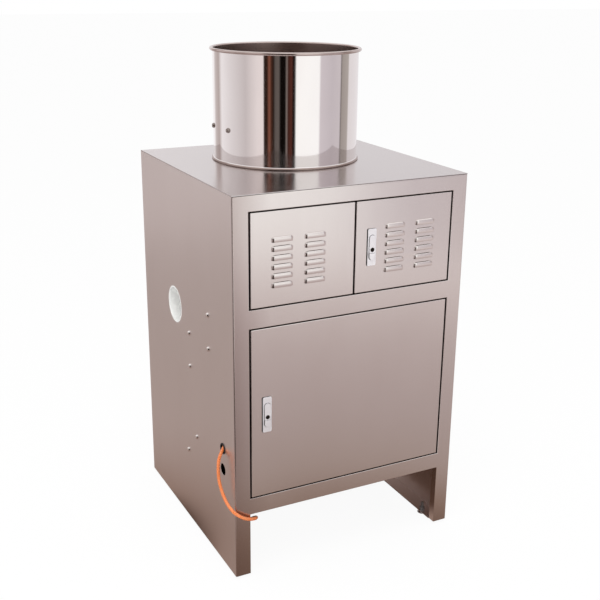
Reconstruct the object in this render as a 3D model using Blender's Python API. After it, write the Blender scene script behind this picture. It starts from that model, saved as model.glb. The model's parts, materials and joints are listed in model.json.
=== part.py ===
"""Garlic peeling machine: a stainless floor cabinet with a hopper, peel chamber, gate and air hose.

Metres, +Z up, front at -Y. The origin is on the floor, under the middle of the cabinet.
"""
import math

import bmesh
import bpy
from mathutils import Matrix, Vector
from mathutils.geometry import interpolate_bezier

# Cabinet
CABINET_WIDTH = 0.600
CABINET_DEPTH = 0.600
CABINET_HEIGHT = 0.924
FOOT_STANDOFF = 0.008
SHEET = 0.0015
SEAT_GAP = 0.0003
CUT_OVERRUN = 0.004
WELD_DISTANCE = 0.00001
STILE_WIDTH = 0.038
TOP_RAIL_HEIGHT = 0.0377
UPPER_OPENING_HEIGHT = 0.2206
MID_RAIL_HEIGHT = 0.0437
LOWER_OPENING_HEIGHT = 0.4211
BOTTOM_RAIL_HEIGHT = 0.041
FRAME_DEPTH = 0.020
TOP_LIP = 0.020
FOOT_FLANGE_WIDTH = 0.0385
REAR_FLANGE_WIDTH = 0.025
SHELF_RISE = 0.010
TRAY_LIP = 0.015

# Levelling feet
FOOT_RADIUS = 0.012
FOOT_PAD_HEIGHT = 0.0077
FOOT_TOP_SHARE = 0.7
FOOT_EDGE_INSET = 0.029
FOOT_END_INSET = 0.066
STUD_RADIUS = 0.004
STUD_LENGTH = 0.030
NUT_RADIUS = 0.0075
NUT_HEIGHT = 0.0065

# Doors
DOOR_SIDE_GAP = 0.004
DOOR_END_GAP = 0.003
DOOR_DEPTH = 0.020
PIVOT_INSET = 0.008
PIN_RADIUS = 0.0025
PIN_HEAD_RADIUS = 0.005
PIN_HEAD_HEIGHT = 0.002
PIN_REACH = 0.003

# Louvres in the upper doors
LOUVRE_WIDTH = 0.052
LOUVRE_HEIGHT = 0.014
LOUVRE_DEPTH = 0.005
LOUVRE_WALL = 0.001
LOUVRE_TOP_SHARE = 0.25
LOUVRE_PITCH = 0.0206
LOUVRE_ROWS = 6
LOUVRE_TOP_DROP = 0.066
LOUVRE_COLUMNS_X = (-0.1825, -0.1015, 0.1048, 0.1860)

# Push-button latches
LATCH_WIDTH = 0.022
LATCH_HEIGHT = 0.087
LATCH_THICKNESS = 0.0020
LATCH_CORNER = 0.003
UPPER_LATCH_INSET = 0.0415
LOWER_LATCH_INSET = 0.0387
LATCH_DROP = 0.0014
LEVER_WIDTH = 0.015
LEVER_LENGTH = 0.058
LEVER_THICKNESS = 0.0022
LEVER_TOP_DROP = 0.015
BUTTON_LENGTH = 0.016
BUTTON_THICKNESS = 0.003
BUTTON_TRAVEL = 0.0015
BUTTON_STEM_RADIUS = 0.0025
BUTTON_GAP = 0.0005
KEY_RADIUS = 0.0048
KEY_PROUD = 0.0006
KEY_DROP = 0.034
KEY_SLOT_LENGTH = 0.006
KEY_SLOT_WIDTH = 0.0014
SPINDLE_RADIUS = 0.005
TONGUE_REACH = 0.052
TONGUE_WIDTH = 0.016
TONGUE_THICKNESS = 0.003

# Hopper
HOPPER_CENTRE_Y = 0.061
HOPPER_RADIUS = 0.1785
HOPPER_HEIGHT = 0.2695
HOPPER_WALL = 0.0012
RIM_RADIUS = 0.1856
RIM_BEAD_RADIUS = 0.004
BASE_FLANGE_RADIUS = 0.183
BASE_FLANGE_HEIGHT = 0.005
BAFFLE_INNER_RADIUS = 0.078
BAFFLE_HALF_ANGLE = math.radians(22.5)
BAFFLE_RISE = 0.024
BAFFLE_TOP = 0.096
BAFFLE_SHEET = 0.002
HOPPER_SCREW_RISE = 0.083
HOPPER_SCREW_HALF_ANGLE = math.radians(14.5)

# Feed rotor and its drive
FEED_CIRCLE_RADIUS = 0.115
FEED_DISC_THICKNESS = 0.012
FEED_DISC_CLEARANCE = 0.003
FEED_DISC_RISE = 0.0015
FEED_POCKET_RADIUS = 0.025
FEED_POCKETS = 8
SHAFT_RADIUS = 0.006
SHAFT_DEPTH = 0.030
HUB_RADIUS = 0.018
HUB_HEIGHT = 0.040
HUB_CAP = 0.006
ARM_RADIUS = 0.005
ARM_REACH = 0.150
ARM_COUNT = 3
GEARBOX_SIZE = 0.084
GEARBOX_HEIGHT = 0.070
GEARBOX_FLANGE = 0.110
GEARBOX_FLANGE_THICKNESS = 0.008
GEARBOX_BOLT_INSET = 0.007
MOTOR_RADIUS = 0.039
MOTOR_LENGTH = 0.105
TERMINAL_BOX = 0.036

# Feed tube and peel chamber
FEED_TUBE_RADIUS = 0.028
FEED_TUBE_WALL = 0.0015
FEED_TUBE_FLANGE_RADIUS = 0.040
FEED_TUBE_FLANGE_THICKNESS = 0.003
CHAMBER_X = -0.150
CHAMBER_Y = 0.073
CHAMBER_RADIUS = 0.070
CHAMBER_WALL = 0.003
CHAMBER_HEIGHT = 0.205
CHAMBER_FLANGE_RADIUS = 0.085
CHAMBER_FLANGE_THICKNESS = 0.004
EXHAUST_Z = 0.580
EXHAUST_RADIUS = 0.047
EXHAUST_WALL = 0.003
NOZZLE_RADIUS = 0.0025
NOZZLE_BODY_RADIUS = 0.006
NOZZLE_LENGTH = 0.022
NOZZLE_RISE = 0.042
NOZZLE_ANGLES = (math.radians(-125), math.radians(-55))

# Gate below the chamber
GATE_FRAME_THICKNESS = 0.006
GATE_FRAME_LENGTH = 0.320
GATE_FRAME_OVERHANG = 0.085
GATE_WIDTH = 0.150
GATE_LENGTH = 0.155
GATE_OVERHANG = 0.075
GATE_THICKNESS = 0.003
GATE_STROKE = 0.145
GUIDE_WALL = 0.0077
GUIDE_LIP = 0.007
GUIDE_LIP_THICKNESS = 0.003
GATE_LUG_DROP = 0.034
GATE_LUG_WIDTH = 0.030
CYLINDER_RADIUS = 0.020
CYLINDER_BORE = 0.016
CYLINDER_LENGTH = 0.198
CYLINDER_END = 0.012
CYLINDER_HANG = 0.0205
ROD_RADIUS = 0.005
PISTON_LENGTH = 0.014

# Outlet chute
CHUTE_LENGTH = 0.144
CHUTE_SHEET = 0.0015
CHUTE_EXIT_Z = 0.150
CHUTE_EXIT_DEPTH = 0.050
BRACKET_SHEET = 0.003
BRACKET_SHELF = 0.028
CHUTE_BRACKET_TOP_Y = -0.085
CHUTE_BRACKET_END_Y = 0.013
CHUTE_BRACKET_DEPTH = 0.057

# Bolts in the left side panel, as (y, z) places
BOLT_HEAD_RADIUS = 0.0062
BOLT_HEAD_HEIGHT = 0.0032
BOLT_SHANK_RADIUS = 0.003
BOLT_REACH = 0.010
HOPPER_BOLT_REACH = 0.006
VALVE_BOLTS = ((-0.150, 0.622), (-0.150, 0.538), (-0.024, 0.535), (-0.024, 0.448))
CHUTE_BOLTS = ((-0.0605, 0.270), (0.0012, 0.207))
BACK_SCREW_INSET = 0.012
BACK_SCREWS_PER_SIDE = 4
BACK_SCREW_END_INSET = 0.050

# Flange bolts
FLANGE_BOLT_RADIUS = 0.0025
FLANGE_BOLT_HEAD = 0.005
FLANGE_BOLT_HEAD_HEIGHT = 0.004
CHAMBER_BOLT_CIRCLE = 0.078

# Compressed-air fittings
VALVE_BRACKET_MARGIN = 0.014
VALVE_LENGTH = 0.036
VALVE_WIDTH = 0.030
VALVE_REACH = 0.052
VALVE_COIL_SHARE = 0.55
VALVE_SPACING = 0.060
MANIFOLD_LENGTH = 0.110
MANIFOLD_DEPTH = 0.022
VALVE_PORT_RADIUS = 0.005
VALVE_PORT_LENGTH = 0.010
REGULATOR_PLACE = (-0.240, -0.190, 0.400)
REGULATOR_SIZE = 0.040
REGULATOR_BOWL_RADIUS = 0.018
REGULATOR_BOWL_HEIGHT = 0.065
REGULATOR_ELBOW_REACH = 0.016
REGULATOR_ELBOW_RADIUS = 0.0065
REGULATOR_ELBOW_DROP = 0.012
REGULATOR_KNOB_RADIUS = 0.017
REGULATOR_KNOB_HEIGHT = 0.028
GAUGE_RADIUS = 0.020
GAUGE_THICKNESS = 0.018
GAUGE_STEM_RADIUS = 0.004
GAUGE_STEM_LENGTH = 0.006
REGULATOR_BRACKET_FOOT = 0.030
AIR_TUBE_RADIUS = 0.004
HOSE_HOLE_Y = -0.229
HOSE_HOLE_Z = 0.316
HOSE_HOLE_RADIUS = 0.012
GROMMET_LIP = 0.0015
GROMMET_BORE = 0.0105
CABLE_HOLE_Y = -0.228
CABLE_HOLE_Z = 0.261
CABLE_HOLE_RADIUS = 0.0145

# Control box
CONTROL_BOX_SIZE = (0.140, 0.100, 0.120)
CONTROL_BOX_RIGHT_INSET = 0.035
CONTROL_BOX_FRONT_INSET = 0.080
TIMER_KNOB_RADIUS = 0.014
TIMER_KNOB_LENGTH = 0.016
TIMER_SHAFT_RADIUS = 0.003
TIMER_SHAFT_LENGTH = 0.012
TIMER_BAR_WIDTH = 0.004
TIMER_BAR_RISE = 0.004
ROCKER_WIDTH = 0.018
ROCKER_HEIGHT = 0.026
ROCKER_DEPTH = 0.006
ROCKER_TILT = math.radians(8)
ROCKER_CLEARANCE = 0.0012

# Air hose, its coil and its end fitting
HOSE_RADIUS = 0.004
HOSE_STEP = 0.019
COIL_CENTRE = (-0.187, 0.225)
COIL_OUTER_RADIUS = 0.0525
COIL_TURN_PITCH = 0.0088
COIL_LAYER_PITCH = 0.0088
COIL_LIFT = 0.0025
COIL_TURNS_DOWN = 2.0
COIL_CLIMB_TURNS = 0.5
COIL_TURNS_UP = 1.875
COIL_POINTS_PER_TURN = 24
TAIL_LENGTH = 0.088
TAIL_FLAT = 0.032
TAIL_STEPS = 11
SMOOTH_STEPS = 12
TIE_WIDTH = 0.008
TIE_THICKNESS = 0.0012
TIE_GAP = 0.0010
FITTING_RADIUS = 0.009
FITTING_LENGTH = 0.042

# Route of the hose from its hole, round the front leg and under the cabinet to the coil
HOSE_ROUTE = (
    (-0.3018, -0.2311, 0.3138), (-0.310, -0.2378, 0.3066), (-0.3165, -0.2432, 0.2965),
    (-0.3195, -0.2465, 0.284), (-0.3203, -0.248, 0.268), (-0.3203, -0.2505, 0.252),
    (-0.3195, -0.2565, 0.237), (-0.3178, -0.266, 0.2215), (-0.3155, -0.279, 0.2075),
    (-0.312, -0.293, 0.197), (-0.3065, -0.3055, 0.1885), (-0.2975, -0.3125, 0.181),
    (-0.2863, -0.3128, 0.1725), (-0.2742, -0.3110, 0.1655), (-0.262, -0.3065, 0.1595),
    (-0.2505, -0.299, 0.154), (-0.2415, -0.2875, 0.148), (-0.2370, -0.2735, 0.140),
    (-0.2358, -0.257, 0.129), (-0.2360, -0.238, 0.115), (-0.2365, -0.212, 0.0935),
    (-0.237, -0.182, 0.068), (-0.2375, -0.150, 0.043), (-0.238, -0.117, 0.0225),
    (-0.2385, -0.083, 0.0095), (-0.239, -0.045, 0.0055), (-0.2393, 0.0, 0.0043),
    (-0.2395, 0.05, 0.0043), (-0.2395, 0.10, 0.0043), (-0.2395, 0.16, 0.0052),
)
# Route of the tube from the regulator's outlet up to the valves
SUPPLY_ROUTE = (
    (-0.1860, -0.190, 0.400), (-0.164, -0.1915, 0.4125), (-0.154, -0.1935, 0.445),
    (-0.163, -0.198, 0.495), (-0.196, -0.205, 0.560), (-0.246, -0.197, 0.600),
    (-0.277, -0.174, 0.5945),
)

# Places worked out from the driving sizes
PANEL_BOTTOM_Z = FOOT_STANDOFF
TOP_Z = FOOT_STANDOFF + CABINET_HEIGHT
WALL_TOP_Z = TOP_Z - SHEET - SEAT_GAP
HALF_WIDTH = CABINET_WIDTH / 2
FRONT_Y = -CABINET_DEPTH / 2
BACK_Y = CABINET_DEPTH / 2
INNER_X = HALF_WIDTH - SHEET - SEAT_GAP
INNER_FRONT_Y = FRONT_Y + FRAME_DEPTH + SEAT_GAP
REAR_FLANGE_Y = BACK_Y - SHEET - SEAT_GAP
INNER_BACK_Y = REAR_FLANGE_Y - SHEET - SEAT_GAP
OPENING_X = HALF_WIDTH - STILE_WIDTH
UPPER_TOP_Z = TOP_Z - TOP_RAIL_HEIGHT
UPPER_BOTTOM_Z = UPPER_TOP_Z - UPPER_OPENING_HEIGHT
LOWER_TOP_Z = UPPER_BOTTOM_Z - MID_RAIL_HEIGHT
LOWER_BOTTOM_Z = LOWER_TOP_Z - LOWER_OPENING_HEIGHT
FLOOR_PAN_Z = LOWER_BOTTOM_Z - BOTTOM_RAIL_HEIGHT
SHELF_Z = LOWER_TOP_Z + SHELF_RISE
FEED_X = -FEED_CIRCLE_RADIUS
FEED_Y = HOPPER_CENTRE_Y
TURN = 2 * math.pi
X_AXIS = Vector((1, 0, 0))
Y_AXIS = Vector((0, 1, 0))
Z_AXIS = Vector((0, 0, 1))
PLANE_AXES = {"X": (1, 2, 0), "Y": (0, 2, 1), "Z": (0, 1, 2)}

# Finishes as colour, metallic, roughness
BRUSHED = ((0.62, 0.58, 0.56), 1.0, 0.34)
POLISHED = ((0.74, 0.72, 0.72), 1.0, 0.08)
ZINC = ((0.55, 0.55, 0.56), 1.0, 0.40)
ALUMINIUM = ((0.60, 0.61, 0.63), 1.0, 0.38)
BRASS = ((0.72, 0.52, 0.25), 1.0, 0.30)
BLACK_PLASTIC = ((0.03, 0.03, 0.03), 0.0, 0.45)
WHITE_PLASTIC = ((0.80, 0.79, 0.76), 0.0, 0.40)
GREY_PLASTIC = ((0.30, 0.31, 0.32), 0.0, 0.45)
BLUE_PAINT = ((0.10, 0.16, 0.24), 0.0, 0.45)
DARK_STEEL = ((0.20, 0.19, 0.19), 1.0, 0.45)
ORANGE_HOSE = ((0.85, 0.27, 0.08), 0.0, 0.35)


def clear_scene():
    for thing in list(bpy.data.objects):
        bpy.data.objects.remove(thing, do_unlink=True)


def solid(vertices, faces):
    """An object from points and faces, turned to face outwards."""
    mesh = bpy.data.meshes.new("solid")
    shape = bmesh.new()
    corners = [shape.verts.new(point) for point in vertices]
    for face in faces:
        shape.faces.new([corners[index] for index in face])
    bmesh.ops.recalc_face_normals(shape, faces=shape.faces)
    shape.to_mesh(mesh)
    shape.free()
    thing = bpy.data.objects.new("solid", mesh)
    bpy.context.scene.collection.objects.link(thing)
    return thing


def prism(outline, axis, start, end):
    """An outline drawn square to an axis, drawn out along it from start to end."""
    first, second, along = PLANE_AXES[axis]
    vertices = []
    for level in (start, end):
        for point in outline:
            vertex = [0.0, 0.0, 0.0]
            vertex[first], vertex[second], vertex[along] = point[0], point[1], level
            vertices.append(vertex)
    count = len(outline)
    sides = [(i, (i + 1) % count, count + (i + 1) % count, count + i) for i in range(count)]
    return solid(vertices, [tuple(range(count)), tuple(range(count, 2 * count)), *sides])


def box(low, high):
    """A block between two opposite corners."""
    outline = [(low[0], low[1]), (high[0], low[1]), (high[0], high[1]), (low[0], high[1])]
    return prism(outline, "Z", low[2], high[2])


def turned(profile, base, axis=Z_AXIS, sides=32):
    """A closed profile of (radius, height) points turned about an axis through base."""
    tilt = Z_AXIS.rotation_difference(axis).to_matrix()
    vertices, rings = [], []
    for radius, height in profile:
        steps = sides if radius > 0 else 1
        rings.append([len(vertices) + i for i in range(steps)])
        for i in range(steps):
            angle = TURN * i / steps
            local = Vector((radius * math.cos(angle), radius * math.sin(angle), height))
            vertices.append(Vector(base) + tilt @ local)
    faces = []
    for ring, after in zip(rings, rings[1:] + rings[:1]):
        for i in range(sides):
            corners = [ring[i % len(ring)], ring[(i + 1) % len(ring)]]
            corners += [after[(i + 1) % len(after)], after[i % len(after)]]
            corners = list(dict.fromkeys(corners))
            if len(corners) > 2:
                faces.append(corners)
    return solid(vertices, faces)


def sector(profile, base, start, end, steps):
    """A closed profile of (radius, height) points swept about +Z through part of a turn."""
    vertices = []
    for i in range(steps + 1):
        angle = start + (end - start) * i / steps
        for radius, height in profile:
            offset = Vector((radius * math.cos(angle), radius * math.sin(angle), height))
            vertices.append(Vector(base) + offset)
    count = len(profile)
    faces = [tuple(range(count)), tuple(range(steps * count, (steps + 1) * count))]
    for i in range(steps):
        for j in range(count):
            near, far = i * count + j, i * count + (j + 1) % count
            faces.append((near, far, far + count, near + count))
    return solid(vertices, faces)


def cylinder(base, axis, radius, length, sides=24):
    return turned([(0, 0), (radius, 0), (radius, length), (0, length)], base, axis, sides)


def tube(base, axis, outer, inner, length, sides=32):
    return turned([(inner, 0), (outer, 0), (outer, length), (inner, length)], base, axis, sides)


def combine(body, tool, operation):
    """Cut, join or intersect two solids, and drop the tool."""
    modifier = body.modifiers.new(operation.lower(), "BOOLEAN")
    modifier.operation = operation
    modifier.solver = "EXACT"
    modifier.object = tool
    graph = bpy.context.evaluated_depsgraph_get()
    result = bpy.data.meshes.new_from_object(body.evaluated_get(graph))
    body.modifiers.clear()
    weld(result)
    body.data = result
    bpy.data.objects.remove(tool, do_unlink=True)
    return body


def weld(mesh):
    """Merge points that a cut left a hair apart, and drop the faces with no area."""
    shape = bmesh.new()
    shape.from_mesh(mesh)
    bmesh.ops.remove_doubles(shape, verts=shape.verts, dist=WELD_DISTANCE)
    bmesh.ops.dissolve_degenerate(shape, edges=shape.edges, dist=WELD_DISTANCE)
    shape.to_mesh(mesh)
    shape.free()


def cut(body, *tools):
    for tool in tools:
        combine(body, tool, "DIFFERENCE")
    return body


def fuse(body, *tools):
    for tool in tools:
        combine(body, tool, "UNION")
    return body


def pivot(name, place, parent=None):
    """An empty on a joint's axis that carries the pieces which move about it."""
    empty = bpy.data.objects.new(name, None)
    bpy.context.scene.collection.objects.link(empty)
    empty.parent = parent
    held_at = Vector(tuple(parent["world"])) if parent else Vector((0, 0, 0))
    empty.location = Vector(place) - held_at
    empty["world"] = tuple(place)
    return empty


def piece(name, thing, finish, holder=None):
    """Name a finished solid, give it its own material and hang it on its pivot."""
    colour, metallic, roughness = finish
    material = bpy.data.materials.new(name + "_finish")
    material.use_nodes = True
    shader = material.node_tree.nodes["Principled BSDF"]
    shader.inputs["Base Color"].default_value = (*colour, 1.0)
    shader.inputs["Metallic"].default_value = metallic
    shader.inputs["Roughness"].default_value = roughness
    thing.name = name
    thing.data.name = name
    thing.data.materials.clear()
    thing.data.materials.append(material)
    if thing.type == "MESH":
        thing.data.shade_smooth()
        thing.data.set_sharp_from_angle(angle=math.radians(32))
    if holder:
        thing.parent = holder
        if thing.type == "MESH":
            thing.data.transform(Matrix.Translation(-Vector(tuple(holder["world"]))))
    return thing


def side_box(side, x_near, x_far, y_low, y_high, z_low, z_high):
    """A block mirrored to the left (-1) or the right (+1) side."""
    low, high = sorted((side * x_near, side * x_far))
    return box((low, y_low, z_low), (high, y_high, z_high))


# Side panels: one folded sheet each, with a foot flange and a rear flange


def side_panel(side):
    """The sheet, its inward foot flange with a stud hole at each foot, and its rear flange."""
    front = FRONT_Y + SHEET + SEAT_GAP
    panel = side_box(side, HALF_WIDTH - SHEET, HALF_WIDTH, front, BACK_Y, PANEL_BOTTOM_Z, WALL_TOP_Z)
    inside = HALF_WIDTH - SHEET / 2
    foot_edge = HALF_WIDTH - SHEET - FOOT_FLANGE_WIDTH
    flange_top = PANEL_BOTTOM_Z + SHEET
    rear = REAR_FLANGE_Y
    fuse(panel, side_box(side, foot_edge, inside, INNER_FRONT_Y, rear, PANEL_BOTTOM_Z, flange_top))
    rear_edge = HALF_WIDTH - SHEET - REAR_FLANGE_WIDTH
    fuse(panel, side_box(side, rear_edge, inside, rear - SHEET, rear, PANEL_BOTTOM_Z, WALL_TOP_Z))
    for y in (FRONT_Y + FOOT_END_INSET, BACK_Y - FOOT_END_INSET):
        place = (side * (HALF_WIDTH - FOOT_EDGE_INSET), y, PANEL_BOTTOM_Z - CUT_OVERRUN)
        hole = STUD_RADIUS + SEAT_GAP
        cut(panel, cylinder(place, Z_AXIS, hole, SHEET + 2 * CUT_OVERRUN, 10))
    cut(panel, *back_screw_holes(side))
    return panel


def back_screw_places(side):
    """Screw places along one edge of the back panel."""
    low = FLOOR_PAN_Z + BACK_SCREW_END_INSET
    high = WALL_TOP_Z - BACK_SCREW_END_INSET
    x = side * (INNER_X - BACK_SCREW_INSET)
    steps = BACK_SCREWS_PER_SIDE - 1
    return [(x, low + (high - low) * i / steps) for i in range(BACK_SCREWS_PER_SIDE)]


def back_screw_holes(side):
    radius = BOLT_SHANK_RADIUS + SEAT_GAP
    length = 2 * SHEET + 2 * CUT_OVERRUN
    start = BACK_Y + CUT_OVERRUN
    return [cylinder((x, start, z), -Y_AXIS, radius, length, 8) for x, z in back_screw_places(side)]


def left_hole(y, z, radius, sides=32):
    """A cutter through the left side panel."""
    start = -HALF_WIDTH - CUT_OVERRUN
    return cylinder((start, y, z), X_AXIS, radius, SHEET + 2 * CUT_OVERRUN, sides)


def make_side_panels():
    left = side_panel(-1)
    cut(left, left_hole(CHAMBER_Y, EXHAUST_Z, EXHAUST_RADIUS + SEAT_GAP, 24))
    cut(left, left_hole(HOSE_HOLE_Y, HOSE_HOLE_Z, HOSE_HOLE_RADIUS, 16))
    cut(left, left_hole(CABLE_HOLE_Y, CABLE_HOLE_Z, CABLE_HOLE_RADIUS, 20))
    for y, z in VALVE_BOLTS + CHUTE_BOLTS:
        cut(left, left_hole(y, z, BOLT_SHANK_RADIUS + SEAT_GAP, 8))
    piece("left_side_panel", left, BRUSHED)
    piece("right_side_panel", side_panel(1), BRUSHED)


# Front frame: one pressed sheet with two door openings and a gap between the legs


def opening_box(x, z_low, z_high, margin):
    """A door opening or the leg gap, widened by a margin, as a cutter right through the frame."""
    low = (-x - margin, FRONT_Y - CUT_OVERRUN, z_low - margin)
    return box(low, (x + margin, INNER_FRONT_Y + CUT_OVERRUN, z_high + margin))


def frame_openings(margin):
    leg_gap_bottom = PANEL_BOTTOM_Z - 2 * CUT_OVERRUN
    return [
        opening_box(OPENING_X, UPPER_BOTTOM_Z, UPPER_TOP_Z, margin),
        opening_box(OPENING_X, LOWER_BOTTOM_Z, LOWER_TOP_Z, margin),
        opening_box(OPENING_X, leg_gap_bottom, FLOOR_PAN_Z, margin),
    ]


def make_front_frame():
    face_back = FRONT_Y + SHEET
    frame = box((-HALF_WIDTH, FRONT_Y, PANEL_BOTTOM_Z), (HALF_WIDTH, face_back, WALL_TOP_Z))
    low = (-INNER_X, FRONT_Y + SHEET / 2, PANEL_BOTTOM_Z)
    fuse(frame, box(low, (INNER_X, FRONT_Y + FRAME_DEPTH, WALL_TOP_Z)))
    pocket_low = (-INNER_X + SHEET, face_back, PANEL_BOTTOM_Z - CUT_OVERRUN)
    pocket_high = (INNER_X - SHEET, INNER_FRONT_Y + CUT_OVERRUN, WALL_TOP_Z - SHEET)
    pocket = cut(box(pocket_low, pocket_high), *frame_openings(SHEET))
    cut(frame, pocket, *frame_openings(0))
    fuse(frame, *hinge_pins())
    piece("front_frame", frame, BRUSHED)


# Hinge pins: welded into the frame's folded edges, one above and one below each door

LEFT_HINGE_X = -OPENING_X + DOOR_SIDE_GAP + PIVOT_INSET
RIGHT_HINGE_X = -LEFT_HINGE_X


def pin_places():
    """Each pin's x, the frame edge it stands on, and which way it points out of the opening."""
    places = []
    for x, low, high in (
        (LEFT_HINGE_X, UPPER_BOTTOM_Z, UPPER_TOP_Z),
        (RIGHT_HINGE_X, UPPER_BOTTOM_Z, UPPER_TOP_Z),
        (RIGHT_HINGE_X, LOWER_BOTTOM_Z, LOWER_TOP_Z),
    ):
        places += [(x, high, 1), (x, low, -1)]
    return places


def hinge_pins():
    """A headed pin on each place that reaches through the frame's edge into the door's edge."""
    pins = []
    inner = -DOOR_END_GAP - SHEET - PIN_REACH
    seat, top = SHEET / 2, SHEET + PIN_HEAD_HEIGHT
    profile = [(0, inner), (PIN_RADIUS, inner), (PIN_RADIUS, seat)]
    profile += [(PIN_HEAD_RADIUS, seat), (PIN_HEAD_RADIUS, top), (0, top)]
    for x, z, up in pin_places():
        pins.append(turned(profile, (x, FRONT_Y + PIVOT_INSET, z), up * Z_AXIS, 8))
    return pins


# Top panel, back panel, floor pan and divider shelf


def tray(low, high, sheet, opens_up):
    """A sheet with its four edges folded up or down."""
    body = box(low, high)
    inner_low = [low[0] + sheet, low[1] + sheet, low[2] + sheet]
    inner_high = [high[0] - sheet, high[1] - sheet, high[2] + CUT_OVERRUN]
    if not opens_up:
        inner_low[2], inner_high[2] = low[2] - CUT_OVERRUN, high[2] - sheet
    return cut(body, box(inner_low, inner_high))


def make_top_panel():
    """A flat sheet with a shallow lip set in behind the walls, with the feed and shaft holes."""
    bottom = TOP_Z - SHEET
    panel = box((-HALF_WIDTH, FRONT_Y, bottom), (HALF_WIDTH, BACK_Y, TOP_Z))
    lip_low = (-INNER_X, INNER_FRONT_Y, TOP_Z - TOP_LIP)
    lip = box(lip_low, (INNER_X, INNER_BACK_Y, TOP_Z - SHEET / 2))
    hollow_low = (lip_low[0] + SHEET, lip_low[1] + SHEET, lip_low[2] - CUT_OVERRUN)
    cut(lip, box(hollow_low, (INNER_X - SHEET, INNER_BACK_Y - SHEET, TOP_Z + CUT_OVERRUN)))
    fuse(panel, lip)
    depth = SHEET + 2 * CUT_OVERRUN
    feed_bore = FEED_TUBE_RADIUS - FEED_TUBE_WALL
    start = bottom - CUT_OVERRUN
    cut(panel, cylinder((FEED_X, FEED_Y, start), Z_AXIS, feed_bore, depth, 24))
    cut(panel, cylinder((0, HOPPER_CENTRE_Y, start), Z_AXIS, SHAFT_RADIUS + SEAT_GAP, depth, 24))
    bolt_hole = FLANGE_BOLT_RADIUS + SEAT_GAP
    cut(panel, *upright_holes(gearbox_bolt_places(), bottom, TOP_Z, bolt_hole))
    piece("top_panel", panel, BRUSHED)


def make_back_panel():
    """The back sheet with its dome-headed screws, whose shanks go through the rear flanges."""
    low = (-INNER_X, BACK_Y - SHEET, FLOOR_PAN_Z)
    panel = box(low, (INNER_X, BACK_Y, WALL_TOP_Z))
    for side in (-1, 1):
        for x, z in back_screw_places(side):
            fuse(panel, dome_bolt((x, BACK_Y - SEAT_GAP, z), -Y_AXIS, BOLT_REACH))
    piece("back_panel", panel, BRUSHED)


def chute_box():
    """The chute's outer x and y limits."""
    x = (CHAMBER_X - CHUTE_LENGTH / 2, CHAMBER_X + CHUTE_LENGTH / 2)
    half = GATE_WIDTH / 2 + SEAT_GAP + GUIDE_WALL
    return x, (CHAMBER_Y - half, CHAMBER_Y + half)


def make_floor_pan():
    low = (-INNER_X, INNER_FRONT_Y, FLOOR_PAN_Z)
    pan = tray(low, (INNER_X, INNER_BACK_Y, FLOOR_PAN_Z + TRAY_LIP), SHEET, True)
    (x_low, x_high), (_, y_high) = chute_box()
    y_low = y_high - CHUTE_EXIT_DEPTH - (FLOOR_PAN_Z + SHEET - CHUTE_EXIT_Z)
    gap = CHUTE_SHEET
    hole_low = (x_low - gap, y_low - gap, FLOOR_PAN_Z - CUT_OVERRUN)
    cut(pan, box(hole_low, (x_high + gap, y_high + gap, FLOOR_PAN_Z + SHEET + CUT_OVERRUN)))
    fuse(pan, *regulator_bracket())
    piece("floor_pan", pan, BRUSHED)


def chamber_bolt_places():
    """Four bolt places round the chamber's flange."""
    angles = [TURN * (i + 1 / 2) / 4 for i in range(4)]
    circle = CHAMBER_BOLT_CIRCLE
    return [(CHAMBER_X + circle * math.cos(a), CHAMBER_Y + circle * math.sin(a)) for a in angles]


def upright_holes(places, z_low, z_high, radius, sides=8):
    depth = z_high - z_low + 2 * CUT_OVERRUN
    return [cylinder((x, y, z_low - CUT_OVERRUN), Z_AXIS, radius, depth, sides) for x, y in places]


def make_divider_shelf():
    low = (-INNER_X, INNER_FRONT_Y, SHELF_Z)
    shelf = tray(low, (INNER_X, INNER_BACK_Y, SHELF_Z + TRAY_LIP), SHEET, True)
    top = SHELF_Z + SHEET
    tube_hole = FEED_TUBE_RADIUS + SEAT_GAP
    cut(shelf, *upright_holes([(FEED_X, FEED_Y)], SHELF_Z, top, tube_hole, 24))
    bolt_hole = FLANGE_BOLT_RADIUS + SEAT_GAP
    cut(shelf, *upright_holes(chamber_bolt_places(), SHELF_Z, top, bolt_hole))
    piece("divider_shelf", shelf, BRUSHED)


# Levelling feet: a pad, a threaded stud through the flange and a lock nut on it


def make_levelling_feet():
    """Each foot is one piece: the pad under the flange, the stud through it and the nut above."""
    edge = FOOT_PAD_HEIGHT / 4
    nut_low = PANEL_BOTTOM_Z + SHEET + SEAT_GAP
    nut_top = nut_low + NUT_HEIGHT
    profile = [(0, 0), (FOOT_RADIUS, 0), (FOOT_RADIUS, edge)]
    profile += [(FOOT_RADIUS * FOOT_TOP_SHARE, FOOT_PAD_HEIGHT), (STUD_RADIUS, FOOT_PAD_HEIGHT)]
    profile += [(STUD_RADIUS, nut_low), (NUT_RADIUS, nut_low), (NUT_RADIUS, nut_top)]
    profile += [(STUD_RADIUS, nut_top), (STUD_RADIUS, STUD_LENGTH), (0, STUD_LENGTH)]
    for side, across in ((-1, "left"), (1, "right")):
        for y, along in ((FRONT_Y + FOOT_END_INSET, "front"), (BACK_Y - FOOT_END_INSET, "rear")):
            place = (side * (HALF_WIDTH - FOOT_EDGE_INSET), y, 0)
            piece(f"{along}_{across}_foot", turned(profile, place, Z_AXIS, 10), ZINC)


# Doors: pans of folded sheet that sit flush in the frame


def door_pan(x_low, x_high, z_low, z_high):
    """A door's face sheet with its four edges folded back."""
    back = FRONT_Y + DOOR_DEPTH
    door = box((x_low, FRONT_Y, z_low), (x_high, back, z_high))
    inner_low = (x_low + SHEET, FRONT_Y + SHEET, z_low + SHEET)
    inner_high = (x_high - SHEET, back + CUT_OVERRUN, z_high - SHEET)
    return cut(door, box(inner_low, inner_high))


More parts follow.
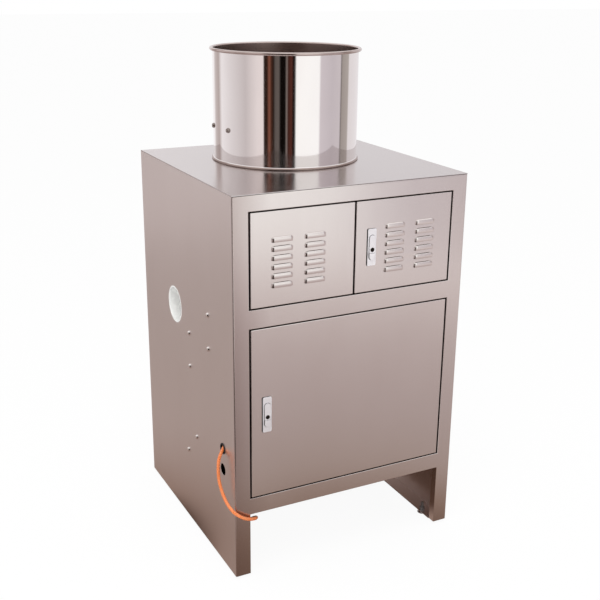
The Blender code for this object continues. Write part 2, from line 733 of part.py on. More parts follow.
def door_pin_holes(x, z_low, z_high):
    """Holes in a door's folded top and bottom edges for its two pins."""
    depth = SHEET + 2 * CUT_OVERRUN
    radius = PIN_RADIUS + SEAT_GAP
    y = FRONT_Y + PIVOT_INSET
    holes = [cylinder((x, y, z_low - CUT_OVERRUN), Z_AXIS, radius, depth, 8)]
    return holes + [cylinder((x, y, z_high + CUT_OVERRUN), -Z_AXIS, radius, depth, 8)]


def louvre_section(z, root, front, back, wall):
    """A hood from the side: it slopes forward from its top edge to its lower edge."""
    top, bottom = z + LOUVRE_HEIGHT / 2 - wall, z - LOUVRE_HEIGHT / 2 - wall
    upper = root - (root - front) * LOUVRE_TOP_SHARE
    return [(back, top), (upper, top), (front, bottom), (back, bottom)]


def add_louvres(door, columns):
    """Press rows of hoods into a door, each open underneath."""
    middle, behind = FRONT_Y + SHEET / 2, FRONT_Y + SHEET + CUT_OVERRUN
    wall = LOUVRE_WALL
    for x in columns:
        for row in range(LOUVRE_ROWS):
            z = UPPER_TOP_Z - LOUVRE_TOP_DROP - row * LOUVRE_PITCH
            half = LOUVRE_WIDTH / 2
            hood = louvre_section(z, FRONT_Y, FRONT_Y - LOUVRE_DEPTH, middle, 0)
            slot = louvre_section(z, FRONT_Y, FRONT_Y - LOUVRE_DEPTH + wall, behind, wall)
            fuse(door, prism(hood, "X", x - half, x + half))
            cut(door, prism(slot, "X", x - half + wall, x + half - wall))


def make_doors():
    """Two louvred upper doors that meet in the middle and one wide lower door."""
    half_gap = DOOR_SIDE_GAP / 2
    edge = OPENING_X - DOOR_SIDE_GAP
    upper_low, upper_high = UPPER_BOTTOM_Z + DOOR_END_GAP, UPPER_TOP_Z - DOOR_END_GAP
    lower_low, lower_high = LOWER_BOTTOM_Z + DOOR_END_GAP, LOWER_TOP_Z - DOOR_END_GAP
    pivot_y = FRONT_Y + PIVOT_INSET
    upper_z, lower_z = (upper_low + upper_high) / 2, (lower_low + lower_high) / 2

    left_pivot = pivot("upper_left_door_pivot", (LEFT_HINGE_X, pivot_y, upper_z))
    left = door_pan(-edge, -half_gap, upper_low, upper_high)
    cut(left, *door_pin_holes(LEFT_HINGE_X, upper_low, upper_high))
    add_louvres(left, [x for x in LOUVRE_COLUMNS_X if x < 0])
    piece("upper_left_door", left, BRUSHED, left_pivot)

    right_pivot = pivot("upper_right_door_pivot", (RIGHT_HINGE_X, pivot_y, upper_z))
    right = door_pan(half_gap, edge, upper_low, upper_high)
    cut(right, *door_pin_holes(RIGHT_HINGE_X, upper_low, upper_high))
    upper_latch_x = half_gap + UPPER_LATCH_INSET
    upper_latch_z = upper_z - LATCH_DROP
    cut(right, *latch_holes(upper_latch_x, upper_latch_z))
    add_louvres(right, [x for x in LOUVRE_COLUMNS_X if x > 0])
    piece("upper_right_door", right, BRUSHED, right_pivot)
    make_latch("upper", upper_latch_x, upper_latch_z, right_pivot)

    lower_pivot = pivot("lower_door_pivot", (RIGHT_HINGE_X, pivot_y, lower_z))
    lower = door_pan(-edge, edge, lower_low, lower_high)
    cut(lower, *door_pin_holes(RIGHT_HINGE_X, lower_low, lower_high))
    lower_latch_x = -edge + LOWER_LATCH_INSET
    lower_latch_z = lower_z - LATCH_DROP
    cut(lower, *latch_holes(lower_latch_x, lower_latch_z))
    piece("lower_door", lower, BRUSHED, lower_pivot)
    make_latch("lower", lower_latch_x, lower_latch_z, lower_pivot)


# Latches: a flat plate, a lever that springs out, a push button, a key plug and a turning tongue


def rounded_outline(x, z, width, height, corner, steps=3):
    """A rectangle with round corners, centred at x and z."""
    outline = []
    for quarter, (sx, sz) in enumerate(((1, 1), (-1, 1), (-1, -1), (1, -1))):
        cx, cz = x + sx * (width / 2 - corner), z + sz * (height / 2 - corner)
        for i in range(steps + 1):
            angle = TURN / 4 * (quarter + i / steps)
            outline.append((cx + corner * math.cos(angle), cz + corner * math.sin(angle)))
    return outline


def lever_top_z(z):
    return z + LATCH_HEIGHT / 2 - LEVER_TOP_DROP


def spindle_z(z):
    """The spindle turns under the round top end of the lever."""
    return lever_top_z(z) - LEVER_WIDTH / 2


def button_stem_z(z):
    """The button's stem goes in under the middle of its round lower end."""
    return lever_top_z(z) - LEVER_LENGTH + LEVER_WIDTH / 2


def latch_holes(x, z):
    """Holes for the spindle and the button's stem, through the door and the plate."""
    holes = []
    stem_hole = BUTTON_STEM_RADIUS + SEAT_GAP
    for hole_z, radius in ((spindle_z(z), SPINDLE_RADIUS + SEAT_GAP), (button_stem_z(z), stem_hole)):
        start = (x, FRONT_Y - LATCH_THICKNESS - CUT_OVERRUN, hole_z)
        depth = LATCH_THICKNESS + SHEET + 2 * CUT_OVERRUN
        holes.append(cylinder(start, Y_AXIS, radius, depth, 12))
    return holes


def make_latch(prefix, x, z, door_pivot):
    """All the pieces of one latch, standing on the door's face."""
    plate_front = FRONT_Y - SEAT_GAP - LATCH_THICKNESS
    outline = rounded_outline(x, z, LATCH_WIDTH, LATCH_HEIGHT, LATCH_CORNER)
    plate = prism(outline, "Y", plate_front, FRONT_Y - SEAT_GAP)
    cut(plate, *latch_holes(x, z))
    piece(prefix + "_latch_plate", plate, POLISHED, door_pivot)

    axis_z = spindle_z(z)
    spindle_pivot = pivot(prefix + "_spindle_pivot", (x, plate_front, axis_z), door_pivot)
    make_tongue(prefix, x, axis_z, plate_front, spindle_pivot)
    lever_back = plate_front - SEAT_GAP
    lever_place = (x, lever_back, lever_top_z(z))
    lever_pivot = pivot(prefix + "_lever_pivot", lever_place, spindle_pivot)
    make_lever(prefix, x, z, lever_back, lever_pivot)
    make_button(prefix, x, z, lever_back, door_pivot)


def make_tongue(prefix, x, axis_z, plate_front, holder):
    """The spindle through the door and the flat tongue on its inner end, hanging down."""
    back = FRONT_Y + DOOR_DEPTH + TONGUE_THICKNESS
    length = back + TONGUE_THICKNESS / 2 - plate_front
    spindle = cylinder((x, plate_front, axis_z), Y_AXIS, SPINDLE_RADIUS, length, 12)
    low = (x - TONGUE_WIDTH / 2, back, axis_z - TONGUE_REACH)
    high = (x + TONGUE_WIDTH / 2, back + TONGUE_THICKNESS, axis_z + TONGUE_WIDTH / 2)
    piece(prefix + "_latch_tongue", fuse(box(low, high), spindle), ZINC, holder)


def arc(x, z, radius, start, end, steps):
    """Points along an arc in the X-Z plane."""
    turns = [start + (end - start) * i / steps for i in range(steps + 1)]
    return [(x + radius * math.cos(a), z + radius * math.sin(a)) for a in turns]


def lever_end_radius():
    """The lever's lower end is round about the spindle, so that it can turn past the button."""
    return LEVER_LENGTH - LEVER_WIDTH / 2 - BUTTON_LENGTH


def make_lever(prefix, x, z, lever_back, holder):
    """The lever with its key plug, which turns in a hole near the lever's lower end."""
    half = LEVER_WIDTH / 2
    end = lever_end_radius()
    spread = math.asin(half / end)
    outline = arc(x, spindle_z(z), half, 0, TURN / 2, 6)
    outline += arc(x, spindle_z(z), end, TURN * 3 / 4 - spread, TURN * 3 / 4 + spread, 4)
    front = lever_back - LEVER_THICKNESS
    lever = prism(outline, "Y", front, lever_back)
    key_z = lever_top_z(z) - KEY_DROP
    start = (x, front - CUT_OVERRUN, key_z)
    depth = LEVER_THICKNESS + 2 * CUT_OVERRUN
    cut(lever, cylinder(start, Y_AXIS, KEY_RADIUS + SEAT_GAP, depth, 12))
    piece(prefix + "_latch_lever", lever, POLISHED, holder)
    key_place = (x, front - KEY_PROUD, key_z)
    plug = cylinder(key_place, Y_AXIS, KEY_RADIUS, LEVER_THICKNESS + KEY_PROUD, 12)
    slot_low = (x - KEY_SLOT_WIDTH / 2, front - CUT_OVERRUN, key_z - KEY_SLOT_LENGTH / 2)
    slot_high = (x + KEY_SLOT_WIDTH / 2, lever_back - LEVER_THICKNESS / 2, key_z + KEY_SLOT_LENGTH / 2)
    cut(plug, box(slot_low, slot_high))
    key_pivot = pivot(prefix + "_key_pivot", key_place, holder)
    piece(prefix + "_key_plug", plug, DARK_STEEL, key_pivot)


def make_button(prefix, x, z, lever_back, door_pivot):
    """The push button below the lever, hollowed along its top to the lever's round end."""
    half = LEVER_WIDTH / 2
    end = lever_end_radius() + BUTTON_GAP
    spread = math.asin(half / end)
    stem_z = button_stem_z(z)
    outline = arc(x, stem_z, half, TURN / 2, TURN, 6)
    outline += arc(x, spindle_z(z), end, TURN * 3 / 4 + spread, TURN * 3 / 4 - spread, 4)
    back = lever_back - BUTTON_TRAVEL
    front = lever_back - BUTTON_THICKNESS
    button = prism(outline, "Y", front, back)
    stem_start = (x, (front + back) / 2, stem_z)
    stem_end = FRONT_Y + SHEET + BUTTON_TRAVEL
    fuse(button, cylinder(stem_start, Y_AXIS, BUTTON_STEM_RADIUS, stem_end - stem_start[1], 12))
    button_pivot = pivot(prefix + "_button_pivot", (x, front, stem_z), door_pivot)
    piece(prefix + "_latch_button", button, POLISHED, button_pivot)


# Hopper: a rolled and polished cylinder with a beaded rim, and the guard over its outlet

HOPPER_INNER_RADIUS = HOPPER_RADIUS - HOPPER_WALL
OUTLET_ANGLE = TURN / 2


def hopper_profile():
    bead_centre = RIM_RADIUS - RIM_BEAD_RADIUS
    bead_z = HOPPER_HEIGHT - RIM_BEAD_RADIUS
    sweep = TURN / 2 + math.acos((HOPPER_RADIUS - bead_centre) / RIM_BEAD_RADIUS)
    profile = [(HOPPER_INNER_RADIUS, 0), (HOPPER_INNER_RADIUS, bead_z)]
    profile += arc(bead_centre, bead_z, RIM_BEAD_RADIUS, TURN / 2, TURN / 2 - sweep, 6)[1:]
    flange_edge = BASE_FLANGE_HEIGHT / 2
    profile += [(HOPPER_RADIUS, BASE_FLANGE_HEIGHT), (BASE_FLANGE_RADIUS, flange_edge)]
    return profile + [(BASE_FLANGE_RADIUS, 0)]


def hopper_screw_axes():
    """The hopper's axis at screw height and each screw's outward direction."""
    screws = []
    for side in (-1, 1):
        angle = OUTLET_ANGLE + side * HOPPER_SCREW_HALF_ANGLE
        outward = Vector((math.cos(angle), math.sin(angle), 0))
        screws.append((Vector((0, HOPPER_CENTRE_Y, TOP_Z + HOPPER_SCREW_RISE)), outward))
    return screws


def hopper_screw_holes():
    start = HOPPER_INNER_RADIUS - BAFFLE_SHEET - CUT_OVERRUN
    radius = BOLT_SHANK_RADIUS + SEAT_GAP
    depth = HOPPER_WALL + BAFFLE_SHEET + 2 * CUT_OVERRUN
    return [cylinder(c + start * out, out, radius, depth, 8) for c, out in hopper_screw_axes()]


def make_hopper():
    """The shell, and the guard inside it with the two screws that hold it to the shell."""
    base = (0, HOPPER_CENTRE_Y, TOP_Z + SEAT_GAP)
    shell = cut(turned(hopper_profile(), base, Z_AXIS, 48), *hopper_screw_holes())
    piece("hopper_shell", shell, POLISHED)
    outer = HOPPER_INNER_RADIUS - SEAT_GAP
    inner = outer - BAFFLE_SHEET
    plate_top = BAFFLE_RISE + BAFFLE_SHEET
    profile = [(BAFFLE_INNER_RADIUS, BAFFLE_RISE), (outer, BAFFLE_RISE), (outer, BAFFLE_TOP)]
    profile += [(inner, BAFFLE_TOP), (inner, plate_top), (BAFFLE_INNER_RADIUS, plate_top)]
    start, end = OUTLET_ANGLE - BAFFLE_HALF_ANGLE, OUTLET_ANGLE + BAFFLE_HALF_ANGLE
    baffle = sector(profile, (0, HOPPER_CENTRE_Y, TOP_Z), start, end, 6)
    for centre, outward in hopper_screw_axes():
        seat = centre + outward * (HOPPER_RADIUS + SEAT_GAP)
        fuse(baffle, dome_bolt(seat, -outward, HOPPER_BOLT_REACH))
    piece("hopper_baffle", baffle, BRUSHED)


# Feed rotor: a disc with pockets and a stirrer above it, both on the drive shaft


def make_feed_rotor():
    rotor = pivot("feed_rotor_pivot", (0, HOPPER_CENTRE_Y, TOP_Z))
    bore = SHAFT_RADIUS + SEAT_GAP
    disc_low = TOP_Z + FEED_DISC_RISE
    disc_radius = HOPPER_INNER_RADIUS - FEED_DISC_CLEARANCE
    centre = (0, HOPPER_CENTRE_Y, disc_low)
    disc = tube(centre, Z_AXIS, disc_radius, bore, FEED_DISC_THICKNESS, 32)
    for i in range(FEED_POCKETS):
        angle = TURN * (i + 1 / 2) / FEED_POCKETS
        x = FEED_CIRCLE_RADIUS * math.cos(angle)
        y = HOPPER_CENTRE_Y + FEED_CIRCLE_RADIUS * math.sin(angle)
        depth = FEED_DISC_THICKNESS + 2 * CUT_OVERRUN
        start = (x, y, disc_low - CUT_OVERRUN)
        cut(disc, cylinder(start, Z_AXIS, FEED_POCKET_RADIUS, depth, 12))
    piece("feed_disc", disc, WHITE_PLASTIC, rotor)

    hub_low = disc_low + FEED_DISC_THICKNESS + SEAT_GAP
    hub_base = Vector((0, HOPPER_CENTRE_Y, hub_low))
    hub_top = HUB_HEIGHT + HUB_CAP
    profile = [(bore, 0), (HUB_RADIUS, 0), (HUB_RADIUS, HUB_HEIGHT), (HUB_RADIUS * 2 / 3, hub_top)]
    profile += [(0, hub_top), (0, HUB_HEIGHT), (bore, HUB_HEIGHT)]
    stirrer = turned(profile, hub_base, Z_AXIS, 16)
    for i in range(ARM_COUNT):
        angle = TURN * i / ARM_COUNT + TURN / 12
        outward = Vector((math.cos(angle), math.sin(angle), 0))
        start = hub_base + Vector((0, 0, HUB_HEIGHT * 2 / 3)) + outward * (bore + HUB_RADIUS) / 2
        length = ARM_REACH - (bore + HUB_RADIUS) / 2
        fuse(stirrer, cylinder(start, outward, ARM_RADIUS, length, 8))
    piece("stirrer", stirrer, POLISHED, rotor)

    shaft_low = GEARBOX_TOP_Z - SHAFT_DEPTH
    shaft_length = hub_low + HUB_HEIGHT - SEAT_GAP - shaft_low
    shaft = cylinder((0, HOPPER_CENTRE_Y, shaft_low), Z_AXIS, SHAFT_RADIUS, shaft_length, 24)
    piece("drive_shaft", shaft, POLISHED, rotor)


# Gear motor under the top panel

GEARBOX_TOP_Z = TOP_Z - SHEET - SEAT_GAP


def gearbox_bolt_places():
    offset = GEARBOX_FLANGE / 2 - GEARBOX_BOLT_INSET
    return [(sx * offset, HOPPER_CENTRE_Y + sy * offset) for sx in (-1, 1) for sy in (-1, 1)]


def make_gear_motor():
    y = HOPPER_CENTRE_Y
    half, flange = GEARBOX_SIZE / 2, GEARBOX_FLANGE / 2
    flange_low = GEARBOX_TOP_Z - GEARBOX_FLANGE_THICKNESS
    body_low = flange_low - GEARBOX_HEIGHT
    gearbox = box((-flange, y - flange, flange_low), (flange, y + flange, GEARBOX_TOP_Z))
    overlap = flange_low + GEARBOX_FLANGE_THICKNESS / 2
    fuse(gearbox, box((-half, y - half, body_low), (half, y + half, overlap)))
    bore_start = (0, y, GEARBOX_TOP_Z - SHAFT_DEPTH - SEAT_GAP)
    bore = SHAFT_RADIUS + SEAT_GAP
    cut(gearbox, cylinder(bore_start, Z_AXIS, bore, SHAFT_DEPTH + CUT_OVERRUN, 24))
    seat_z = flange_low + SEAT_GAP
    for x, y_bolt in gearbox_bolt_places():
        fuse(gearbox, flange_bolt((x, y_bolt, seat_z), Z_AXIS, TOP_Z - SEAT_GAP - seat_z))
    piece("gearbox", gearbox, ALUMINIUM)
    motor_top = body_low - SEAT_GAP
    rounding = MOTOR_RADIUS / 6
    bottom = -MOTOR_LENGTH
    profile = [(0, bottom), (MOTOR_RADIUS - rounding, bottom), (MOTOR_RADIUS, bottom + rounding)]
    profile += [(MOTOR_RADIUS, 0), (0, 0)]
    motor = turned(profile, (0, y, motor_top), Z_AXIS, 20)
    box_half = TERMINAL_BOX / 2
    middle = motor_top - MOTOR_LENGTH / 3
    low = (0, y - box_half, middle - box_half)
    high = (MOTOR_RADIUS + TERMINAL_BOX * 2 / 3, y + box_half, middle + box_half)
    piece("feed_motor", fuse(motor, box(low, high)), BLUE_PAINT)


# Feed tube, peel chamber, exhaust pipe and air nozzles

LID_TOP_Z = SHELF_Z - SEAT_GAP
LID_BOTTOM_Z = LID_TOP_Z - CHAMBER_FLANGE_THICKNESS
CHAMBER_TOP_Z = LID_BOTTOM_Z - SEAT_GAP
CHAMBER_BOTTOM_Z = CHAMBER_TOP_Z - CHAMBER_HEIGHT
CHAMBER_BORE = CHAMBER_RADIUS - CHAMBER_WALL
GATE_FRAME_TOP_Z = CHAMBER_BOTTOM_Z - SEAT_GAP


def make_feed_tube():
    bore = FEED_TUBE_RADIUS - FEED_TUBE_WALL
    top = GEARBOX_TOP_Z - LID_BOTTOM_Z
    under = top - FEED_TUBE_FLANGE_THICKNESS
    profile = [(bore, 0), (FEED_TUBE_RADIUS, 0), (FEED_TUBE_RADIUS, under)]
    profile += [(FEED_TUBE_FLANGE_RADIUS, under), (FEED_TUBE_FLANGE_RADIUS, top), (bore, top)]
    piece("feed_tube", turned(profile, (FEED_X, FEED_Y, LID_BOTTOM_Z), Z_AXIS, 24), BRUSHED)


def make_chamber():
    lid_base = (CHAMBER_X, CHAMBER_Y, LID_BOTTOM_Z)
    lid = cylinder(lid_base, Z_AXIS, CHAMBER_FLANGE_RADIUS, CHAMBER_FLANGE_THICKNESS, 24)
    tube_hole = FEED_TUBE_RADIUS + SEAT_GAP
    cut(lid, *upright_holes([(FEED_X, FEED_Y)], LID_BOTTOM_Z, LID_TOP_Z, tube_hole, 24))
    seat_z = SHELF_Z + SHEET + SEAT_GAP
    nut_low = CHAMBER_TOP_Z - CHAMBER_FLANGE_THICKNESS - SEAT_GAP - FLANGE_BOLT_HEAD_HEIGHT
    for x, y in chamber_bolt_places():
        fuse(lid, flange_bolt((x, y, seat_z), -Z_AXIS, seat_z - nut_low, True))
    piece("chamber_lid", lid, BRUSHED)

    flange, thick = CHAMBER_FLANGE_RADIUS, CHAMBER_FLANGE_THICKNESS
    profile = [(CHAMBER_BORE, 0), (flange, 0), (flange, thick), (CHAMBER_RADIUS, thick)]
    profile += [(CHAMBER_RADIUS, CHAMBER_HEIGHT - thick), (flange, CHAMBER_HEIGHT - thick)]
    profile += [(flange, CHAMBER_HEIGHT), (CHAMBER_BORE, CHAMBER_HEIGHT)]
    chamber = turned(profile, (CHAMBER_X, CHAMBER_Y, CHAMBER_BOTTOM_Z), Z_AXIS, 24)
    bolt_hole = FLANGE_BOLT_RADIUS + SEAT_GAP
    exhaust_start = (CHAMBER_X - CHAMBER_RADIUS / 2, CHAMBER_Y, EXHAUST_Z)
    cut(chamber, cylinder(exhaust_start, -X_AXIS, EXHAUST_RADIUS + SEAT_GAP, CHAMBER_RADIUS, 24))
    cut(chamber, *upright_holes(chamber_bolt_places(), CHAMBER_BOTTOM_Z, CHAMBER_TOP_Z, bolt_hole))
    for place, inward in nozzle_axes():
        start = place + inward * (NOZZLE_LENGTH - CUT_OVERRUN)
        depth = CHAMBER_WALL + 2 * CUT_OVERRUN
        cut(chamber, cylinder(start, inward, NOZZLE_RADIUS + SEAT_GAP, depth, 8))
    piece("peel_chamber", chamber, BRUSHED)


def make_exhaust_pipe():
    """A plastic pipe from the panel's outer face into the chamber, coped to its bore."""
    length = HALF_WIDTH + CHAMBER_X - CHAMBER_RADIUS / 2
    inner = EXHAUST_RADIUS - EXHAUST_WALL
    pipe = tube((-HALF_WIDTH, CHAMBER_Y, EXHAUST_Z), X_AXIS, EXHAUST_RADIUS, inner, length, 24)
    start = (CHAMBER_X, CHAMBER_Y, EXHAUST_Z - EXHAUST_RADIUS - CUT_OVERRUN)
    depth = 2 * (EXHAUST_RADIUS + CUT_OVERRUN)
    cut(pipe, cylinder(start, Z_AXIS, CHAMBER_BORE, depth, 24))
    piece("exhaust_pipe", pipe, WHITE_PLASTIC)


def nozzle_axes():
    """Each nozzle's outer end and its direction towards the chamber's axis."""
    axes = []
    for angle in NOZZLE_ANGLES:
        outward = Vector((math.cos(angle), math.sin(angle), 0))
        centre = Vector((CHAMBER_X, CHAMBER_Y, CHAMBER_BOTTOM_Z + NOZZLE_RISE))
        axes.append((centre + outward * (CHAMBER_RADIUS + NOZZLE_LENGTH), -outward))
    return axes


def make_air_nozzles():
    bore = NOZZLE_RADIUS / 2
    barb_length = NOZZLE_LENGTH / 3
    seat = NOZZLE_LENGTH - SEAT_GAP
    tip = NOZZLE_LENGTH + CHAMBER_WALL
    profile = [(bore, 0), (AIR_TUBE_RADIUS, 0), (AIR_TUBE_RADIUS, barb_length)]
    profile += [(NOZZLE_BODY_RADIUS, barb_length), (NOZZLE_BODY_RADIUS, seat)]
    profile += [(NOZZLE_RADIUS, seat), (NOZZLE_RADIUS, tip), (bore, tip)]
    for name, (place, inward) in zip(("left_air_nozzle", "right_air_nozzle"), nozzle_axes()):
        piece(name, turned(profile, place, inward, 8), BRASS)


# Gate: a slide in folded guides under the chamber, drawn aside by an air cylinder

GATE_FRAME_LEFT_X = CHAMBER_X - GATE_FRAME_OVERHANG
GATE_FRAME_RIGHT_X = GATE_FRAME_LEFT_X + GATE_FRAME_LENGTH
GATE_FRAME_BOTTOM_Z = GATE_FRAME_TOP_Z - GATE_FRAME_THICKNESS
GATE_TOP_Z = GATE_FRAME_BOTTOM_Z - SEAT_GAP
GATE_BOTTOM_Z = GATE_TOP_Z - GATE_THICKNESS
GUIDE_BOTTOM_Z = GATE_BOTTOM_Z - SEAT_GAP - GUIDE_LIP_THICKNESS
GATE_RIGHT_X = CHAMBER_X - GATE_OVERHANG + GATE_LENGTH
CYLINDER_AXIS_Z = GATE_BOTTOM_Z - CYLINDER_HANG
CYLINDER_FRONT_X = GATE_FRAME_RIGHT_X + SEAT_GAP


def make_gate_frame():
    """The plate under the chamber with a guide along each side and a bracket at its right end."""
    left, right = GATE_FRAME_LEFT_X, GATE_FRAME_RIGHT_X
    outer = GATE_WIDTH / 2 + SEAT_GAP + GUIDE_WALL
    inner = GATE_WIDTH / 2 + SEAT_GAP
    lip = GATE_WIDTH / 2 - GUIDE_LIP
    lip_top = GUIDE_BOTTOM_Z + GUIDE_LIP_THICKNESS
    section = [(CHAMBER_Y - outer, GATE_FRAME_TOP_Z), (CHAMBER_Y - outer, GUIDE_BOTTOM_Z)]
    section += [(CHAMBER_Y - lip, GUIDE_BOTTOM_Z), (CHAMBER_Y - lip, lip_top)]
    section += [(CHAMBER_Y - inner, lip_top), (CHAMBER_Y - inner, GATE_FRAME_BOTTOM_Z)]
    section += [(2 * CHAMBER_Y - y, z) for y, z in reversed(section)]
    frame = prism(section, "X", left, right)
    half = CYLINDER_RADIUS + GUIDE_WALL
    bracket_low = (right - BRACKET_SHEET, CHAMBER_Y - half, CYLINDER_AXIS_Z - CYLINDER_RADIUS)
    bracket_top = (right, CHAMBER_Y + half, GATE_FRAME_BOTTOM_Z + GATE_FRAME_THICKNESS / 2)
    bracket = box(bracket_low, bracket_top)
    rod_start = (right - BRACKET_SHEET - CUT_OVERRUN, CHAMBER_Y, CYLINDER_AXIS_Z)
    depth = BRACKET_SHEET + 2 * CUT_OVERRUN
    cut(bracket, cylinder(rod_start, X_AXIS, ROD_RADIUS + SEAT_GAP, depth, 16))
    fuse(frame, bracket)
    start = (CHAMBER_X, CHAMBER_Y, GATE_FRAME_BOTTOM_Z - CUT_OVERRUN)
    cut(frame, cylinder(start, Z_AXIS, CHAMBER_BORE, GATE_FRAME_THICKNESS + 2 * CUT_OVERRUN, 24))
    seat_z = CHAMBER_BOTTOM_Z + CHAMBER_FLANGE_THICKNESS + SEAT_GAP
    for x, y in chamber_bolt_places():
        bolt = flange_bolt((x, y, seat_z), -Z_AXIS, seat_z - GATE_FRAME_BOTTOM_Z - SEAT_GAP)
        fuse(frame, bolt)
    piece("gate_frame", frame, ALUMINIUM)


def make_gate():
    """The slide with the rod and piston that draw it, and the fixed cylinder round them."""
    slide_pivot = pivot("gate_pivot", (GATE_RIGHT_X, CHAMBER_Y, CYLINDER_AXIS_Z))
    half = GATE_WIDTH / 2
    low = (GATE_RIGHT_X - GATE_LENGTH, CHAMBER_Y - half, GATE_BOTTOM_Z)
    gate = box(low, (GATE_RIGHT_X, CHAMBER_Y + half, GATE_TOP_Z))
    lug_half = GATE_LUG_WIDTH / 2
    lug_low = (GATE_RIGHT_X - GATE_THICKNESS, CHAMBER_Y - lug_half, GATE_BOTTOM_Z - GATE_LUG_DROP)
    lug_top = (GATE_RIGHT_X, CHAMBER_Y + lug_half, GATE_BOTTOM_Z + GATE_THICKNESS / 2)
    fuse(gate, box(lug_low, lug_top))
    rod_start = GATE_RIGHT_X - GATE_THICKNESS * 2
    thread = ROD_RADIUS * 2 / 3
    shoulder = GATE_THICKNESS * 2 + SEAT_GAP
    piston_start = CYLINDER_FRONT_X + CYLINDER_END + SEAT_GAP - rod_start
    piston_end = piston_start + PISTON_LENGTH
    piston_radius = CYLINDER_BORE - SEAT_GAP
    profile = [(0, 0), (thread, 0), (thread, shoulder), (ROD_RADIUS, shoulder)]
    profile += [(ROD_RADIUS, piston_start), (piston_radius, piston_start)]
    profile += [(piston_radius, piston_end), (0, piston_end)]
    rod = turned(profile, (rod_start, CHAMBER_Y, CYLINDER_AXIS_Z), X_AXIS, 16)
    piece("gate_slide", fuse(gate, rod), POLISHED, slide_pivot)

    rod_hole = ROD_RADIUS + SEAT_GAP
    back = CYLINDER_LENGTH - CYLINDER_END
    profile = [(rod_hole, 0), (CYLINDER_RADIUS, 0), (CYLINDER_RADIUS, CYLINDER_LENGTH)]
    profile += [(0, CYLINDER_LENGTH), (0, back), (CYLINDER_BORE, back)]
    profile += [(CYLINDER_BORE, CYLINDER_END), (rod_hole, CYLINDER_END)]
    body = turned(profile, (CYLINDER_FRONT_X, CHAMBER_Y, CYLINDER_AXIS_Z), X_AXIS, 16)
    piece("gate_cylinder", body, ALUMINIUM)


# Outlet chute under the gate and the brackets bolted to the left panel


def chute_section(inset, overrun):
    """The chute's outline from the side: upright at the back, sloped at 45 degrees in front."""
    _, (low, high) = chute_box()
    top = GUIDE_BOTTOM_Z - SEAT_GAP
    toe = high - CHUTE_EXIT_DEPTH
    slope_top = CHUTE_EXIT_Z + toe - low
    lean = inset * math.sqrt(2) - inset
    outline = [(low + inset, top + overrun), (high - inset, top + overrun)]
    outline += [(high - inset, CHUTE_EXIT_Z - overrun)]
    outline += [(toe + inset + lean + overrun, CHUTE_EXIT_Z - overrun)]
    return outline + [(low + inset, slope_top + lean)]


def make_chute():
    (x_low, x_high), _ = chute_box()
    chute = prism(chute_section(0, 0), "X", x_low, x_high)
    hollow = chute_section(CHUTE_SHEET, CUT_OVERRUN)
    cut(chute, prism(hollow, "X", x_low + CHUTE_SHEET, x_high - CHUTE_SHEET))
    piece("outlet_chute", chute, BRUSHED)


def panel_bolts(places):
    """Dome-headed bolts from outside the left panel into a bracket behind it."""
    start = -HALF_WIDTH - SEAT_GAP
    return [dome_bolt((start, y, z), X_AXIS, BOLT_REACH) for y, z in places]


def make_chute_bracket():
    """An angle bracket: a sloped flange, bolted to the side panel, and a shelf under the chute."""
    (x_low, _), (_, y_high) = chute_box()
    toe = y_high - CHUTE_EXIT_DEPTH
    slope_z = CHUTE_EXIT_Z + toe - SEAT_GAP * math.sqrt(2)
    start, end = CHUTE_BRACKET_TOP_Y, CHUTE_BRACKET_END_Y
    fold = BRACKET_SHEET * math.sqrt(2)
    shelf = [(start, slope_z - start), (end, slope_z - end)]
    shelf += [(end, slope_z - end - fold), (start, slope_z - start - fold)]
    flange = [(start, slope_z - start - fold / 2), (end, slope_z - end - fold / 2)]
    drop = CHUTE_BRACKET_DEPTH
    flange += [(end, slope_z - end - drop), (start, slope_z - start - drop)]
    bracket = prism(shelf, "X", -INNER_X + BRACKET_SHEET / 2, x_low + BRACKET_SHELF)
    fuse(bracket, prism(flange, "X", -INNER_X, -INNER_X + BRACKET_SHEET))
    fuse(bracket, *panel_bolts(CHUTE_BOLTS))
    piece("chute_bracket", bracket, BRUSHED)


def make_valve_bracket():
    """A slanted plate on the side panel with its four bolts."""
    margin = VALVE_BRACKET_MARGIN
    (y0, z0), (y1, z1), (y2, z2), (y3, z3) = VALVE_BOLTS
    outline = [(y0 - margin, z0 + margin), (y2 + margin, z2 + margin)]
    outline += [(y3 + margin, z3 - margin), (y1 - margin, z1 - margin)]
    bracket = prism(outline, "X", -INNER_X, -INNER_X + BRACKET_SHEET)
    piece("valve_bracket", fuse(bracket, *panel_bolts(VALVE_BOLTS)), BRUSHED)


# Solenoid valves on a slanted manifold, which the plate carries

MANIFOLD_FACE_X = -INNER_X + BRACKET_SHEET + SEAT_GAP


def manifold_frame():
    """The manifold's middle, its long direction along the bolts' slant, and its downward one."""
    (y0, z0), (y2, z2), (y3, z3) = VALVE_BOLTS[0], VALVE_BOLTS[2], VALVE_BOLTS[3]
    along = Vector((0, y2 - y0, z2 - z0)).normalized()
    return Vector((MANIFOLD_FACE_X, (y0 + y3) / 2, (z0 + z3) / 2)), along, X_AXIS.cross(-along)


def slanted_box(x_low, x_high, centre, length, height):
    """A block square to the manifold's slant."""
    middle, along, down = manifold_frame()
    corners = []
    for a, b in ((-1, -1), (1, -1), (1, 1), (-1, 1)):
        point = middle + along * (centre + a * length / 2) + down * b * height / 2
        corners.append((point.y, point.z))
    return prism(corners, "X", x_low, x_high)


